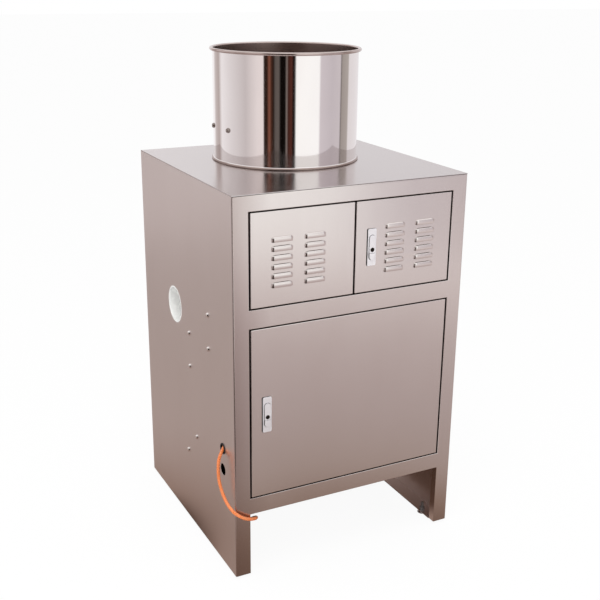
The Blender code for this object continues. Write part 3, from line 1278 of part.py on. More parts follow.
def manifold_ports():
    """The inlet at the manifold's upper end, then its two outlets, as places and directions."""
    middle, along, down = manifold_frame()
    middle = middle + X_AXIS * MANIFOLD_DEPTH / 2
    ports = [(middle - along * MANIFOLD_LENGTH / 2, -along)]
    for side in (-1, 1):
        ports.append((middle + along * side * VALVE_SPACING / 2 + down * VALVE_WIDTH / 2, down))
    return ports


def make_valve_block():
    """The manifold with its ports and two solenoid valves."""
    face = MANIFOLD_FACE_X
    manifold = slanted_box(face, face + MANIFOLD_DEPTH, 0, MANIFOLD_LENGTH, VALVE_WIDTH)
    for place, outward in manifold_ports():
        start = place - outward * VALVE_PORT_LENGTH / 2
        length = VALVE_PORT_LENGTH * 3 / 2
        fuse(manifold, cylinder(start, outward, VALVE_PORT_RADIUS, length, 12))
    for side in (-1, 1):
        at = side * VALVE_SPACING / 2
        low = face + MANIFOLD_DEPTH - SEAT_GAP
        body = slanted_box(low, low + VALVE_REACH / 2, at, VALVE_LENGTH, VALVE_WIDTH)
        coil_low, coil_high = low + VALVE_REACH / 4, low + VALVE_REACH
        coil_length = VALVE_LENGTH * VALVE_COIL_SHARE
        coil = slanted_box(coil_low, coil_high, at, coil_length, VALVE_WIDTH * VALVE_COIL_SHARE)
        fuse(manifold, body, coil)
    piece("valve_block", manifold, ALUMINIUM)


# Filter regulator with its bowl, knob and gauge, on an upright bracket of the floor pan

REGULATOR = Vector(REGULATOR_PLACE)
ELBOW_X = REGULATOR.x - REGULATOR_SIZE / 2 - REGULATOR_ELBOW_REACH


def make_regulator():
    half = Vector((1, 1, 1)) * REGULATOR_SIZE / 2
    body = box(REGULATOR - half, REGULATOR + half)
    bowl_top = REGULATOR - Vector((0, 0, REGULATOR_SIZE / 4))
    bowl_length = REGULATOR_BOWL_HEIGHT + REGULATOR_SIZE / 4
    bowl_edge = bowl_length * 5 / 6
    profile = [(0, 0), (REGULATOR_BOWL_RADIUS, 0), (REGULATOR_BOWL_RADIUS, bowl_edge)]
    profile += [(REGULATOR_BOWL_RADIUS * 2 / 3, bowl_length), (0, bowl_length)]
    fuse(body, turned(profile, bowl_top, -Z_AXIS, 16))
    start = Vector((ELBOW_X, REGULATOR.y, REGULATOR.z))
    radius = REGULATOR_ELBOW_RADIUS
    port_length = REGULATOR_SIZE + REGULATOR_ELBOW_REACH * 2
    fuse(body, cylinder(start, X_AXIS, radius, port_length, 12))
    down = REGULATOR_ELBOW_DROP + radius
    fuse(body, cylinder(start + X_AXIS * radius, -Z_AXIS, radius, down, 12))
    stem_start = REGULATOR - Vector((0, REGULATOR_SIZE / 4, 0))
    stem_length = REGULATOR_SIZE / 4 + GAUGE_STEM_LENGTH - SEAT_GAP
    fuse(body, cylinder(stem_start, -Y_AXIS, GAUGE_STEM_RADIUS, stem_length, 10))
    piece("air_regulator", body, GREY_PLASTIC)

    gauge_back = REGULATOR.y - REGULATOR_SIZE / 2 - GAUGE_STEM_LENGTH
    place = (REGULATOR.x, gauge_back, REGULATOR.z)
    rim = GAUGE_THICKNESS / 9
    face_radius = GAUGE_RADIUS - rim
    profile = [(0, 0), (GAUGE_RADIUS, 0), (GAUGE_RADIUS, GAUGE_THICKNESS)]
    profile += [(face_radius, GAUGE_THICKNESS), (face_radius, GAUGE_THICKNESS - rim)]
    profile += [(0, GAUGE_THICKNESS - rim)]
    piece("pressure_gauge", turned(profile, place, -Y_AXIS, 20), DARK_STEEL)

    knob_low = REGULATOR.z + REGULATOR_SIZE / 2 + SEAT_GAP
    knob_place = (REGULATOR.x, REGULATOR.y, knob_low)
    edge = REGULATOR_KNOB_HEIGHT * 7 / 8
    top_radius = REGULATOR_KNOB_RADIUS * 5 / 6
    profile = [(0, 0), (REGULATOR_KNOB_RADIUS, 0), (REGULATOR_KNOB_RADIUS, edge)]
    profile += [(top_radius, REGULATOR_KNOB_HEIGHT), (0, REGULATOR_KNOB_HEIGHT)]
    knob = turned(profile, knob_place, Z_AXIS, 16)
    piece("regulator_knob", knob, BLACK_PLASTIC, pivot("regulator_knob_pivot", knob_place))


def regulator_bracket():
    """An upright strip behind the regulator, with a foot that is welded to the floor pan."""
    x, half = REGULATOR.x, REGULATOR_SIZE / 2
    front = REGULATOR.y + half + SEAT_GAP
    bottom = FLOOR_PAN_Z + SHEET / 2
    width = half - BRACKET_SHEET / 2
    top = (x + width, front + BRACKET_SHEET, REGULATOR.z + half)
    foot_low = (x - width, front + BRACKET_SHEET / 2, bottom)
    foot_high = (x + width, front + REGULATOR_BRACKET_FOOT, bottom + BRACKET_SHEET)
    return box((x - width, front, bottom), top), box(foot_low, foot_high)


# Bolts, each fused to the piece that it holds: dome-headed in the panels, flat-headed elsewhere


def dome_bolt(seat, inward, reach):
    """A domed head standing on its seat, with a shank that reaches inward."""
    head, height, shank = BOLT_HEAD_RADIUS, BOLT_HEAD_HEIGHT, BOLT_SHANK_RADIUS
    profile = [(0, -height), (head * 5 / 8, -height * 4 / 5), (head, 0)]
    profile += [(shank, 0), (shank, reach), (0, reach)]
    return turned(profile, seat, inward, 8)


def flange_bolt(seat, inward, reach, nut=False):
    """A flat head standing on its seat, with a shank that reaches inward to its end or its nut."""
    head, height, shank = FLANGE_BOLT_HEAD, FLANGE_BOLT_HEAD_HEIGHT, FLANGE_BOLT_RADIUS
    profile = [(0, -height), (head, -height), (head, 0), (shank, 0)]
    if nut:
        profile += [(shank, reach - height), (head, reach - height), (head, reach)]
    else:
        profile += [(shank, reach)]
    return turned([*profile, (0, reach)], seat, inward, 8)


# Control box on the shelf behind the upper right door: two timer knobs and a rocker switch

BOX_WIDTH, BOX_DEPTH, BOX_HEIGHT = CONTROL_BOX_SIZE
BOX_RIGHT_X = INNER_X - CONTROL_BOX_RIGHT_INSET
BOX_FRONT_Y = INNER_FRONT_Y + CONTROL_BOX_FRONT_INSET
BOX_BOTTOM_Z = SHELF_Z + SHEET + SEAT_GAP
KNOB_Z = BOX_BOTTOM_Z + BOX_HEIGHT * 2 / 3
SWITCH_X = BOX_RIGHT_X - BOX_WIDTH / 2
SWITCH_Z = BOX_BOTTOM_Z + BOX_HEIGHT / 3


def make_control_box():
    """A folded box, open at the back, with knob holes and a switch window in its front."""
    low = (BOX_RIGHT_X - BOX_WIDTH, BOX_FRONT_Y, BOX_BOTTOM_Z)
    high = (BOX_RIGHT_X, BOX_FRONT_Y + BOX_DEPTH, BOX_BOTTOM_Z + BOX_HEIGHT)
    inner_high = (high[0] - SHEET, high[1] + CUT_OVERRUN, high[2] - SHEET)
    body = cut(box(low, high), box([at + SHEET for at in low], inner_high))
    start, end = BOX_FRONT_Y - CUT_OVERRUN, BOX_FRONT_Y + SHEET + CUT_OVERRUN
    for x in timer_places():
        hole = TIMER_SHAFT_RADIUS + SEAT_GAP
        cut(body, cylinder((x, start, KNOB_Z), Y_AXIS, hole, end - start, 16))
    half_width = ROCKER_WIDTH / 2 + SEAT_GAP
    half_height = ROCKER_HEIGHT / 2 + ROCKER_CLEARANCE
    window_low = (SWITCH_X - half_width, start, SWITCH_Z - half_height)
    cut(body, box(window_low, (SWITCH_X + half_width, end, SWITCH_Z + half_height)))
    piece("control_box", body, GREY_PLASTIC)


def timer_places():
    return (BOX_RIGHT_X - BOX_WIDTH * 3 / 4, BOX_RIGHT_X - BOX_WIDTH / 4)


def make_timer_knobs():
    """Each knob has a finger bar across its face and a shaft through the box."""
    radius, length = TIMER_KNOB_RADIUS, TIMER_KNOB_LENGTH
    shaft = TIMER_SHAFT_RADIUS
    profile = [(0, -TIMER_SHAFT_LENGTH), (shaft, -TIMER_SHAFT_LENGTH), (shaft, 0), (radius, 0)]
    profile += [(radius * 7 / 8, length), (0, length)]
    for name, x in zip(("feed_timer_knob", "peel_timer_knob"), timer_places()):
        base = (x, BOX_FRONT_Y - SEAT_GAP, KNOB_Z)
        knob = turned(profile, base, -Y_AXIS, 12)
        face = base[1] - length
        half = TIMER_BAR_WIDTH / 2
        bar_low = (x - half, face - TIMER_BAR_RISE, KNOB_Z - radius * 3 / 4)
        bar_high = (x + half, face + TIMER_BAR_RISE, KNOB_Z + radius * 3 / 4)
        fuse(knob, box(bar_low, bar_high))
        piece(name, knob, BLACK_PLASTIC, pivot(name + "_pivot", base))


def make_power_switch():
    """A rocker held in the middle of the window, with its upper end pressed in."""
    middle = (SWITCH_X, BOX_FRONT_Y + SHEET / 2, SWITCH_Z)
    depth, half = ROCKER_DEPTH, ROCKER_HEIGHT / 2
    outline = [(-depth, half), (-depth / 2, 0), (-depth, -half), (depth / 2, -half), (depth / 2, half)]
    cosine, sine = math.cos(ROCKER_TILT), math.sin(ROCKER_TILT)
    tilted = [(y * cosine + z * sine, z * cosine - y * sine) for y, z in outline]
    section = [(middle[1] + y, middle[2] + z) for y, z in tilted]
    rocker = prism(section, "X", SWITCH_X - ROCKER_WIDTH / 2, SWITCH_X + ROCKER_WIDTH / 2)
    piece("power_switch", rocker, BLACK_PLASTIC, pivot("power_switch_pivot", middle))


# Grommet in the side panel, and the air tubes inside the cabinet


def make_hose_grommet():
    """A ring that grips the panel's edge all round the hose hole."""
    outer = HOSE_HOLE_RADIUS + GROMMET_LIP
    groove = HOSE_HOLE_RADIUS - SEAT_GAP
    far = SHEET + 2 * SEAT_GAP
    end = far + GROMMET_LIP
    profile = [(GROMMET_BORE, -GROMMET_LIP), (outer, -GROMMET_LIP), (outer, 0), (groove, 0)]
    profile += [(groove, far), (outer, far), (outer, end), (GROMMET_BORE, end)]
    base = (-HALF_WIDTH - SEAT_GAP, HOSE_HOLE_Y, HOSE_HOLE_Z)
    piece("hose_grommet", turned(profile, base, X_AXIS, 16), BLACK_PLASTIC)


def smooth_route(route, step):
    """Even points along a smooth curve through the route's points, with straight ends."""
    places = [Vector(place) for place in route]
    legs = [after - before for before, after in zip(places, places[1:])]
    headings = [legs[0].normalized()]
    for before, after in zip(legs, legs[1:]):
        slope = before.normalized() * after.length + after.normalized() * before.length
        headings.append(slope.normalized())
    headings.append(legs[-1].normalized())
    headings[1], headings[-2] = headings[0], headings[-1]
    dense = [places[0]]
    for i, leg in enumerate(legs):
        near = places[i] + headings[i] * leg.length / 3
        far = places[i + 1] - headings[i + 1] * leg.length / 3
        dense += interpolate_bezier(places[i], near, far, places[i + 1], SMOOTH_STEPS)[1:]
    return even_points(dense, step)


def even_points(dense, step):
    """The same line with its points at equal distances, about one step apart."""
    lengths = [0.0]
    for before, after in zip(dense, dense[1:]):
        lengths.append(lengths[-1] + (after - before).length)
    count = round(lengths[-1] / step)
    points, index = [dense[0]], 0
    for i in range(1, count):
        target = lengths[-1] * i / count
        while lengths[index + 1] < target:
            index += 1
        share = (target - lengths[index]) / (lengths[index + 1] - lengths[index])
        points.append(dense[index].lerp(dense[index + 1], share))
    return points + [dense[-1]]


def tube_curve(name, points, radius, resolution, finish):
    """A round tube with closed ends along a run of points."""
    curve = bpy.data.curves.new(name, "CURVE")
    curve.dimensions = "3D"
    curve.bevel_depth = radius
    curve.bevel_resolution = resolution
    curve.use_fill_caps = True
    spline = curve.splines.new("POLY")
    spline.points.add(len(points) - 1)
    for point, place in zip(spline.points, points):
        point.co = (*place, 1.0)
    thing = bpy.data.objects.new(name, curve)
    bpy.context.scene.collection.objects.link(thing)
    piece(name, thing, finish)


def make_air_tubes():
    """From the regulator to the valves, and from the valves down to the two nozzles."""
    lead = 4 * AIR_TUBE_RADIUS
    (upper, out), *ports = manifold_ports()
    reach = VALVE_PORT_LENGTH + SEAT_GAP
    outlet_x = REGULATOR.x + REGULATOR_SIZE / 2 + REGULATOR_ELBOW_REACH + SEAT_GAP
    supply = [(outlet_x, REGULATOR.y, REGULATOR.z), *SUPPLY_ROUTE]
    supply += [upper + out * (reach + lead), upper + out * reach]
    tube_curve("supply_tube", smooth_route(supply, lead), AIR_TUBE_RADIUS, 2, ORANGE_HOSE)
    names = ("left_nozzle_tube", "right_nozzle_tube")
    for name, (port, down), (nozzle, inward) in zip(names, reversed(ports), nozzle_axes()):
        start = port + down * reach
        approach = nozzle - inward * lead * 3 / 2
        run = [start, start + down * lead, approach, nozzle - inward * SEAT_GAP]
        tube_curve(name, smooth_route(run, lead), AIR_TUBE_RADIUS, 2, ORANGE_HOSE)


# Air hose outside, its coil on the floor under the cabinet, the tie and the end fitting


def eased(share):
    return share * share * (3 - 2 * share)


def coil_points():
    """A flat layer of loops inwards, a climb, and a second layer outwards on top of it."""
    cx, cy = COIL_CENTRE
    outer, pitch = COIL_OUTER_RADIUS, COIL_TURN_PITCH
    inner = outer - pitch * COIL_TURNS_DOWN
    climb_end = COIL_TURNS_DOWN + COIL_CLIMB_TURNS
    low = COIL_LIFT + HOSE_RADIUS
    points = [Vector((cx - outer, cy - 2 * HOSE_RADIUS, low))]
    for i in range(round((climb_end + COIL_TURNS_UP) * COIL_POINTS_PER_TURN) + 1):
        turn = i / COIL_POINTS_PER_TURN
        if turn < COIL_TURNS_DOWN:
            radius, rise = outer - pitch * turn, 0
        elif turn < climb_end:
            share = (turn - COIL_TURNS_DOWN) / COIL_CLIMB_TURNS
            radius = inner - pitch * share * (1 - share) / 2
            rise = COIL_LAYER_PITCH * eased(share)
        else:
            radius, rise = inner + pitch * (turn - climb_end), COIL_LAYER_PITCH
        angle = TURN * (1 / 2 - turn)
        x, y = cx + radius * math.cos(angle), cy + radius * math.sin(angle)
        points.append(Vector((x, y, low + rise)))
    return points + tail_points(points[-1], Vector((math.sin(angle), -math.cos(angle), 0)))


def tail_points(start, heading):
    """The hose's end runs straight off the coil and comes down to the floor."""
    low = FITTING_RADIUS + SEAT_GAP
    slope_length = TAIL_LENGTH - TAIL_FLAT - 2 * HOSE_RADIUS
    points = []
    for i in range(1, TAIL_STEPS + 1):
        along = TAIL_LENGTH * i / TAIL_STEPS
        share = min(1.0, max(0.0, (along - TAIL_FLAT) / slope_length))
        drop = (start.z - low) * eased(share)
        points.append(start + heading * along - Z_AXIS * drop)
    return points


def least_self_gap(points):
    """The least space between the surfaces of loops that lie beside or above each other."""
    dense = []
    for before, after in zip(points, points[1:]):
        dense += [before.lerp(after, i / 4) for i in range(4)]
    apart = 2 * COIL_POINTS_PER_TURN
    pairs = [(a, b) for i, a in enumerate(dense) for b in dense[i + apart:]]
    return min((a - b).length for a, b in pairs) - 2 * HOSE_RADIUS


def run_length(points):
    return sum((after - before).length for before, after in zip(points, points[1:]))


def inside_run():
    """From the mouth of the regulator's elbow to the inner side of the hose hole."""
    lead = 4 * HOSE_RADIUS
    drop = REGULATOR_ELBOW_RADIUS + REGULATOR_ELBOW_DROP
    mouth = Vector((ELBOW_X + REGULATOR_ELBOW_RADIUS, REGULATOR.y, REGULATOR.z - drop))
    outside = Vector(HOSE_ROUTE[0])
    leaving = (Vector(HOSE_ROUTE[1]) - outside).normalized()
    return [mouth - Z_AXIS * SEAT_GAP, mouth - Z_AXIS * lead, outside - leaving * lead]


def coil_lead(start):
    return [start - Y_AXIS * 5 * HOSE_RADIUS, start - Y_AXIS * SEAT_GAP]


def make_air_hose():
    coil = coil_points()
    free = smooth_route([*inside_run(), *HOSE_ROUTE, *coil_lead(coil[0])], HOSE_STEP)
    tube_curve("air_hose", free, HOSE_RADIUS, 2, ORANGE_HOSE)
    tube_curve("air_hose_coil", coil, HOSE_RADIUS, 1, ORANGE_HOSE)
    print("free hose", run_length(free), "coiled hose", run_length(coil))
    print("least gap between loops", least_self_gap(coil))
    make_coil_tie()
    make_hose_fitting(coil)


def make_coil_tie():
    """A strap round both layers, at the front of the coil."""
    cx, cy = COIL_CENTRE
    far = COIL_OUTER_RADIUS - COIL_TURN_PITCH * 3 / 4
    near = far - COIL_TURN_PITCH
    half = TIE_WIDTH / 2
    margin = HOSE_RADIUS + TIE_GAP
    low = (cx - half, cy - far - margin, COIL_LIFT - TIE_GAP)
    top = COIL_LIFT + COIL_LAYER_PITCH + 2 * HOSE_RADIUS + TIE_GAP
    high = (cx + half, cy - near + margin, top)
    wall = TIE_THICKNESS
    strap = box((low[0], low[1] - wall, low[2] - wall), (high[0], high[1] + wall, high[2] + wall))
    hollow_low = (low[0] - CUT_OVERRUN, low[1], low[2])
    cut(strap, box(hollow_low, (high[0] + CUT_OVERRUN, high[1], high[2])))
    piece("coil_tie", strap, BLACK_PLASTIC)


def make_hose_fitting(coil):
    """A push-in plug for a compressor's coupling, with a collar."""
    heading = (coil[-1] - coil[-2]).normalized()
    length, neck = FITTING_LENGTH, FITTING_RADIUS * 2 / 3
    profile = [(0, 0), (neck, 0), (neck, length / 5), (FITTING_RADIUS, length / 4)]
    profile += [(FITTING_RADIUS, length * 3 / 5), (neck, length * 2 / 3)]
    profile += [(neck, length * 4 / 5), (HOSE_RADIUS, length * 5 / 6), (HOSE_RADIUS, length)]
    profile += [(0, length)]
    base = coil[-1] + heading * SEAT_GAP
    piece("hose_fitting", turned(profile, base, heading, 12), BRASS)


def main():
    clear_scene()
    make_side_panels()
    make_front_frame()
    make_top_panel()
    make_back_panel()
    make_floor_pan()
    make_divider_shelf()
    make_levelling_feet()
    make_doors()
    make_hopper()
    make_feed_rotor()
    make_gear_motor()
    make_feed_tube()
    make_chamber()
    make_exhaust_pipe()
    make_air_nozzles()
    make_gate_frame()
    make_gate()
    make_chute()
    make_chute_bracket()
    make_valve_bracket()
    make_valve_block()
    make_regulator()
    make_control_box()
    make_timer_knobs()
    make_power_switch()
    make_hose_grommet()
    make_air_tubes()
    make_air_hose()


main()
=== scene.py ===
"""Garlic peeling machine: the finished look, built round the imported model.

Metres, +Z up, doors at -Y. The origin is on the floor under the middle of the cabinet.
"""
import json
import math

import bmesh
import bpy
from mathutils import Matrix, Vector
from mathutils.geometry import interpolate_bezier

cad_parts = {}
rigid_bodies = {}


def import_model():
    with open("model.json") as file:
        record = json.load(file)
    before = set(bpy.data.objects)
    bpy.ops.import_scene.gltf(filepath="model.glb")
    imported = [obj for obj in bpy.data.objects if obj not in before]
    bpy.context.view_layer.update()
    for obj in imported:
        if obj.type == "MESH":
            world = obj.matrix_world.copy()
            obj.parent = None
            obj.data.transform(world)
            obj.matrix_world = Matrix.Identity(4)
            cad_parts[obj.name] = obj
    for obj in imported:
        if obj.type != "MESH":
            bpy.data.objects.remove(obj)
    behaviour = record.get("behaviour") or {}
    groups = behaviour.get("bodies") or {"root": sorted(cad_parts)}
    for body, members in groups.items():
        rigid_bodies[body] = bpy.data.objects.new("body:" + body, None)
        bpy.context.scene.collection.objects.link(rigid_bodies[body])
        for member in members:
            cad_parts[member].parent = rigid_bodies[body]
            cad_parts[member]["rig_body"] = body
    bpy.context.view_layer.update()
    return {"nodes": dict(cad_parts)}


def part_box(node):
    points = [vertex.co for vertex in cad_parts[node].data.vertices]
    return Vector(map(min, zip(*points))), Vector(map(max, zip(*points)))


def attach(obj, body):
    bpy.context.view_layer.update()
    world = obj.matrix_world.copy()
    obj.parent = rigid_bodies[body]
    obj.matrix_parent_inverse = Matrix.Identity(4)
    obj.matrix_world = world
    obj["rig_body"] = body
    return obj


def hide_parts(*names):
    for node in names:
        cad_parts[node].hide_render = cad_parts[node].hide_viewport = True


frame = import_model()

# Camera: it looks down on the front left corner of the cabinet from a little above the hopper.
# Its place, turn and focal length come from a fit to the cabinet's straight edges.
CAMERA_PLACE = Vector((-1.0704, -2.1252, 1.3766))
CAMERA_YAW = 0.4724
CAMERA_PITCH = -0.3270
CAMERA_ROLL = 0.0105
CAMERA_LENS = 58.24
CAMERA_SENSOR = 36


def linked(name, data):
    """A new object with this data, put into the scene."""
    thing = bpy.data.objects.new(name, data)
    bpy.context.scene.collection.objects.link(thing)
    return thing


camera_data = bpy.data.cameras.new("camera")
camera_data.lens = CAMERA_LENS
camera_data.sensor_width = CAMERA_SENSOR
camera = linked("camera", camera_data)
level = math.cos(CAMERA_PITCH)
sideways = Vector((math.cos(CAMERA_YAW), -math.sin(CAMERA_YAW), 0))
ahead = Vector((
    math.sin(CAMERA_YAW) * level, math.cos(CAMERA_YAW) * level, math.sin(CAMERA_PITCH)
))
upwards = sideways.cross(ahead)
camera_x = sideways * math.cos(CAMERA_ROLL) + upwards * math.sin(CAMERA_ROLL)
camera_y = upwards * math.cos(CAMERA_ROLL) - sideways * math.sin(CAMERA_ROLL)
turn = Matrix((camera_x, camera_y, -ahead)).transposed().to_4x4()
camera.matrix_world = Matrix.Translation(CAMERA_PLACE) @ turn
bpy.context.scene.camera = camera
bpy.context.scene.view_settings.view_transform = "Standard"

# Floor and world: a white studio floor that keeps a faint shadow of the machine. The camera and
# reflections see both as plain white, and the light that they send to the machine is softer.
FLOOR_SIZE = 60
FLOOR_WHITE = (0.93, 0.93, 0.93, 1)
FLOOR_GLOW_SHARE = 0.94
WORLD_DIFFUSE = 0.72


class Wire:
    """A node's output. Python sums and products on it add Math nodes."""

    def __init__(self, recipe, socket):
        self.recipe, self.socket = recipe, socket

    def maths(self, operation, first, second):
        return self.recipe.node("ShaderNodeMath", {"operation": operation}, {0: first, 1: second})

    def __add__(self, other):
        return self.maths("ADD", self, other)

    def __sub__(self, other):
        return self.maths("SUBTRACT", self, other)

    def __rsub__(self, other):
        return self.maths("SUBTRACT", other, self)

    def __mul__(self, other):
        return self.maths("MULTIPLY", self, other)

    def __gt__(self, other):
        return self.maths("GREATER_THAN", self, other)

    __radd__ = __add__
    __rmul__ = __mul__


class Recipe:
    """One finish: a material's nodes, added by type, settings and inputs."""

    def __init__(self, name, owner=None):
        self.owner = owner or bpy.data.materials.new(name)
        self.owner.use_nodes = True
        self.tree = self.owner.node_tree
        if owner is None:
            self.surface = self.tree.nodes["Principled BSDF"]

    def node(self, kind, settings=None, inputs=None, output=0):
        made = self.tree.nodes.new(kind)
        for key, value in (settings or {}).items():
            if key == "stops":
                self.fill_ramp(made.color_ramp, value)
            else:
                setattr(made, key, value)
        for socket, value in (inputs or {}).items():
            self.feed(made.inputs[socket], value)
        return Wire(self, made.outputs[output])

    def fill_ramp(self, ramp, stops):
        while len(ramp.elements) < len(stops):
            ramp.elements.new(1.0)
        for element, (place, colour) in zip(ramp.elements, stops):
            element.position = place
            element.color = (*colour, 1)

    def feed(self, socket, value):
        if isinstance(value, Wire):
            self.tree.links.new(value.socket, socket)
        else:
            socket.default_value = value

    def shade(self, **values):
        for key, value in values.items():
            self.feed(self.surface.inputs[key.replace("_", " ")], value)

    def send_out(self, shader):
        """Puts another shader in the place of the first one."""
        self.tree.nodes.remove(self.surface)
        self.feed(self.tree.nodes["Material Output"].inputs["Surface"], shader)

    def along(self, axis):
        """How far each point lies along X, Y or Z in the piece's own coordinates."""
        place = self.node("ShaderNodeTexCoord", output="Object")
        return self.node("ShaderNodeSeparateXYZ", inputs={0: place}, output=axis)

    def noise(self, cells, detail, distortion=0.0):
        """Noise on the piece's own coordinates, with so many cells to a metre along X, Y and Z."""
        scale = cells if isinstance(cells, tuple) else (cells, cells, cells)
        place = self.node("ShaderNodeTexCoord", output="Object")
        spread = self.node("ShaderNodeMapping", inputs={"Vector": place, "Scale": scale})
        values = {"Vector": spread, "Scale": 1.0, "Detail": detail, "Distortion": distortion}
        return self.node("ShaderNodeTexNoise", inputs=values)

    def blend(self, share, first, second):
        """One colour fading to another as the share goes from 0 to 1."""
        values = {0: share}
        for socket, colour in ((6, first), (7, second)):
            values[socket] = colour if isinstance(colour, Wire) else (*colour, 1)
        return self.node("ShaderNodeMix", {"data_type": "RGBA"}, values, output=2)

    def bump(self, height, depth, strength=1.0, below=None):
        values = {"Strength": strength, "Distance": depth, "Height": height}
        if below is not None:
            values["Normal"] = below
        return self.node("ShaderNodeBump", inputs=values)


def linear(*values):
    """A colour written as 0 to 255 on screen, as the light that it stands for."""
    shares = [value / 255 for value in values]
    return tuple(s / 12.92 if s < 0.04045 else ((s + 0.055) / 1.055) ** 2.4 for s in shares)


def started(operator, name, **settings):
    """One primitive at its size and place, under its own name and selected alone."""
    bpy.ops.object.select_all(action="DESELECT")
    operator(**settings)
    bpy.ops.object.transform_apply(location=True, rotation=True, scale=True)
    thing = bpy.context.view_layer.objects.active
    thing.name = thing.data.name = name
    return thing


def background_share(recipe):
    """1 where the camera, a reflection or glass looks, and 0 for plain light."""
    total = None
    for output in ("Is Camera Ray", "Is Glossy Ray", "Is Transmission Ray"):
        seen = recipe.node("ShaderNodeLightPath", output=output)
        total = seen if total is None else total + seen
    return recipe.node("ShaderNodeClamp", inputs={"Value": total})


floor = started(bpy.ops.mesh.primitive_plane_add, "floor", size=FLOOR_SIZE)
finish = Recipe("white_floor")
plain = finish.node("ShaderNodeBsdfDiffuse", inputs={"Color": FLOOR_WHITE})
glow = finish.node("ShaderNodeEmission")
share = background_share(finish) * FLOOR_GLOW_SHARE
finish.send_out(finish.node("ShaderNodeMixShader", inputs={0: share, 1: plain, 2: glow}))
floor.data.materials.append(finish.owner)

world = bpy.data.worlds.new("world")
bpy.context.scene.world = world
finish = Recipe("world", world)
backdrop = finish.tree.nodes["Background"]
backdrop.inputs["Color"].default_value = (1, 1, 1, 1)
share = background_share(finish)
finish.feed(backdrop.inputs["Strength"], share * (1 - WORLD_DIFFUSE) + WORLD_DIFFUSE)

# Room and mat: bare steel mirrors what stands round it, so a ring of plain bands stands in for the
# room, and a darker mat lies under the machine. Only reflections see these two.
ROOM_RADIUS = 3.0
ROOM_HEIGHT = 3.2
ROOM_SIDES = 96
# Each band starts at this bearing, in degrees from +X towards +Y, and has this colour
ROOM_BANDS = (
    (-180, (200, 192, 192)), (-160, (228, 219, 218)), (-150.5, (232, 222, 220)),
    (-149, (48, 32, 26)), (-144, (40, 26, 20)), (-141, (134, 84, 68)), (-138, (72, 44, 34)),
    (-134, (26, 18, 14)), (-132, (92, 84, 80)), (-126, (100, 92, 88)), (-124.5, (14, 10, 8)),
    (-116, (16, 12, 10)), (-114.5, (150, 138, 132)), (-113, (60, 34, 28)), (-107, (84, 46, 38)),
    (-105, (24, 18, 16)), (-101.5, (30, 22, 20)), (-100.5, (255, 255, 253)),
    (-63, (255, 255, 254)), (-61, (208, 200, 204)), (-40, (198, 190, 194)),
    (-22, (204, 196, 199)), (-20.5, (78, 70, 67)), (-18.5, (160, 152, 147)),
    (-2, (176, 168, 163)), (0, (226, 221, 222)), (60, (238, 235, 237)), (92, (252, 249, 250)),
    (104, (200, 190, 188)), (118, (182, 169, 166)), (127, (238, 234, 235)),
    (180, (200, 192, 192)),
)
# Below this height the room is one pale wall, but for the stretch in front of the doors
WALL_FOOT = 0.42
WALL_FOOT_PALE = linear(200, 188, 186)
DOORS_VIEW_REACH = 0.8 * ROOM_RADIUS
MAT_RADIUS = 3.0
MAT_LIFT = 0.0004
# The mat's colours at each share of its radius, up to this Y in front of the doors and beyond it
FRONT_RINGS_END_Y = -0.3
FRONT_RINGS = (
    (0.00, (66, 48, 38)), (0.10, (98, 74, 62)), (0.17, (140, 118, 106)),
    (0.24, (168, 152, 145)), (0.36, (178, 164, 161)), (0.62, (192, 179, 177)),
    (0.85, (222, 212, 210)), (1.0, (240, 234, 233)),
)
SIDE_RINGS = (
    (0.00, (58, 42, 34)), (0.10, (80, 58, 48)), (0.12, (150, 127, 116)),
    (0.17, (166, 147, 139)), (0.24, (175, 159, 153)), (0.62, (175, 161, 156)),
    (0.85, (177, 163, 159)), (1.0, (180, 167, 163)),
)
# The dark strip of floor in front of the camera's side of the room, by bearing
DARK_STRIP = (math.radians(-149), math.radians(-100.5))
DARK_STRIP_START = 1.0
DARK_STRIP_COLOUR = linear(50, 36, 30)


def bearing_round(recipe):
    """Each point's bearing from the middle of the machine, in radians from +X towards +Y."""
    place = {0: recipe.along("Y"), 1: recipe.along("X")}
    return recipe.node("ShaderNodeMath", {"operation": "ARCTAN2"}, place)


def colour_ramp(recipe, share, stops):
    """Fades through these colours, each of which stands at its own place from 0 to 1."""
    stops = [(place, linear(*colour)) for place, colour in stops]
    return recipe.node("ShaderNodeValToRGB", {"stops": stops}, {0: share})


def seen_in_reflections_only(thing, finish, colour):
    """Gives a thing of the studio this colour, whatever the lamps do."""
    finish.send_out(finish.node("ShaderNodeEmission", inputs={"Color": colour}))
    thing.data.materials.append(finish.owner)
    thing.visible_camera = thing.visible_diffuse = thing.visible_shadow = False
    thing.visible_transmission = thing.visible_volume_scatter = False


room = started(
    bpy.ops.mesh.primitive_cylinder_add, "room", vertices=ROOM_SIDES, radius=ROOM_RADIUS,
    depth=ROOM_HEIGHT, end_fill_type="NOTHING", location=(0, 0, ROOM_HEIGHT / 2),
)
finish = Recipe("room_bands")
stops = [((degrees + 180) / 360, colour) for degrees, colour in ROOM_BANDS]
bands = colour_ramp(finish, bearing_round(finish) * (1 / math.tau) + 0.5, stops)
doors_view = (0 - finish.along("Y")) > DOORS_VIEW_REACH
foot = (1 - (finish.along("Z") > WALL_FOOT)) * (1 - doors_view)
seen_in_reflections_only(room, finish, finish.blend(foot, bands, WALL_FOOT_PALE))

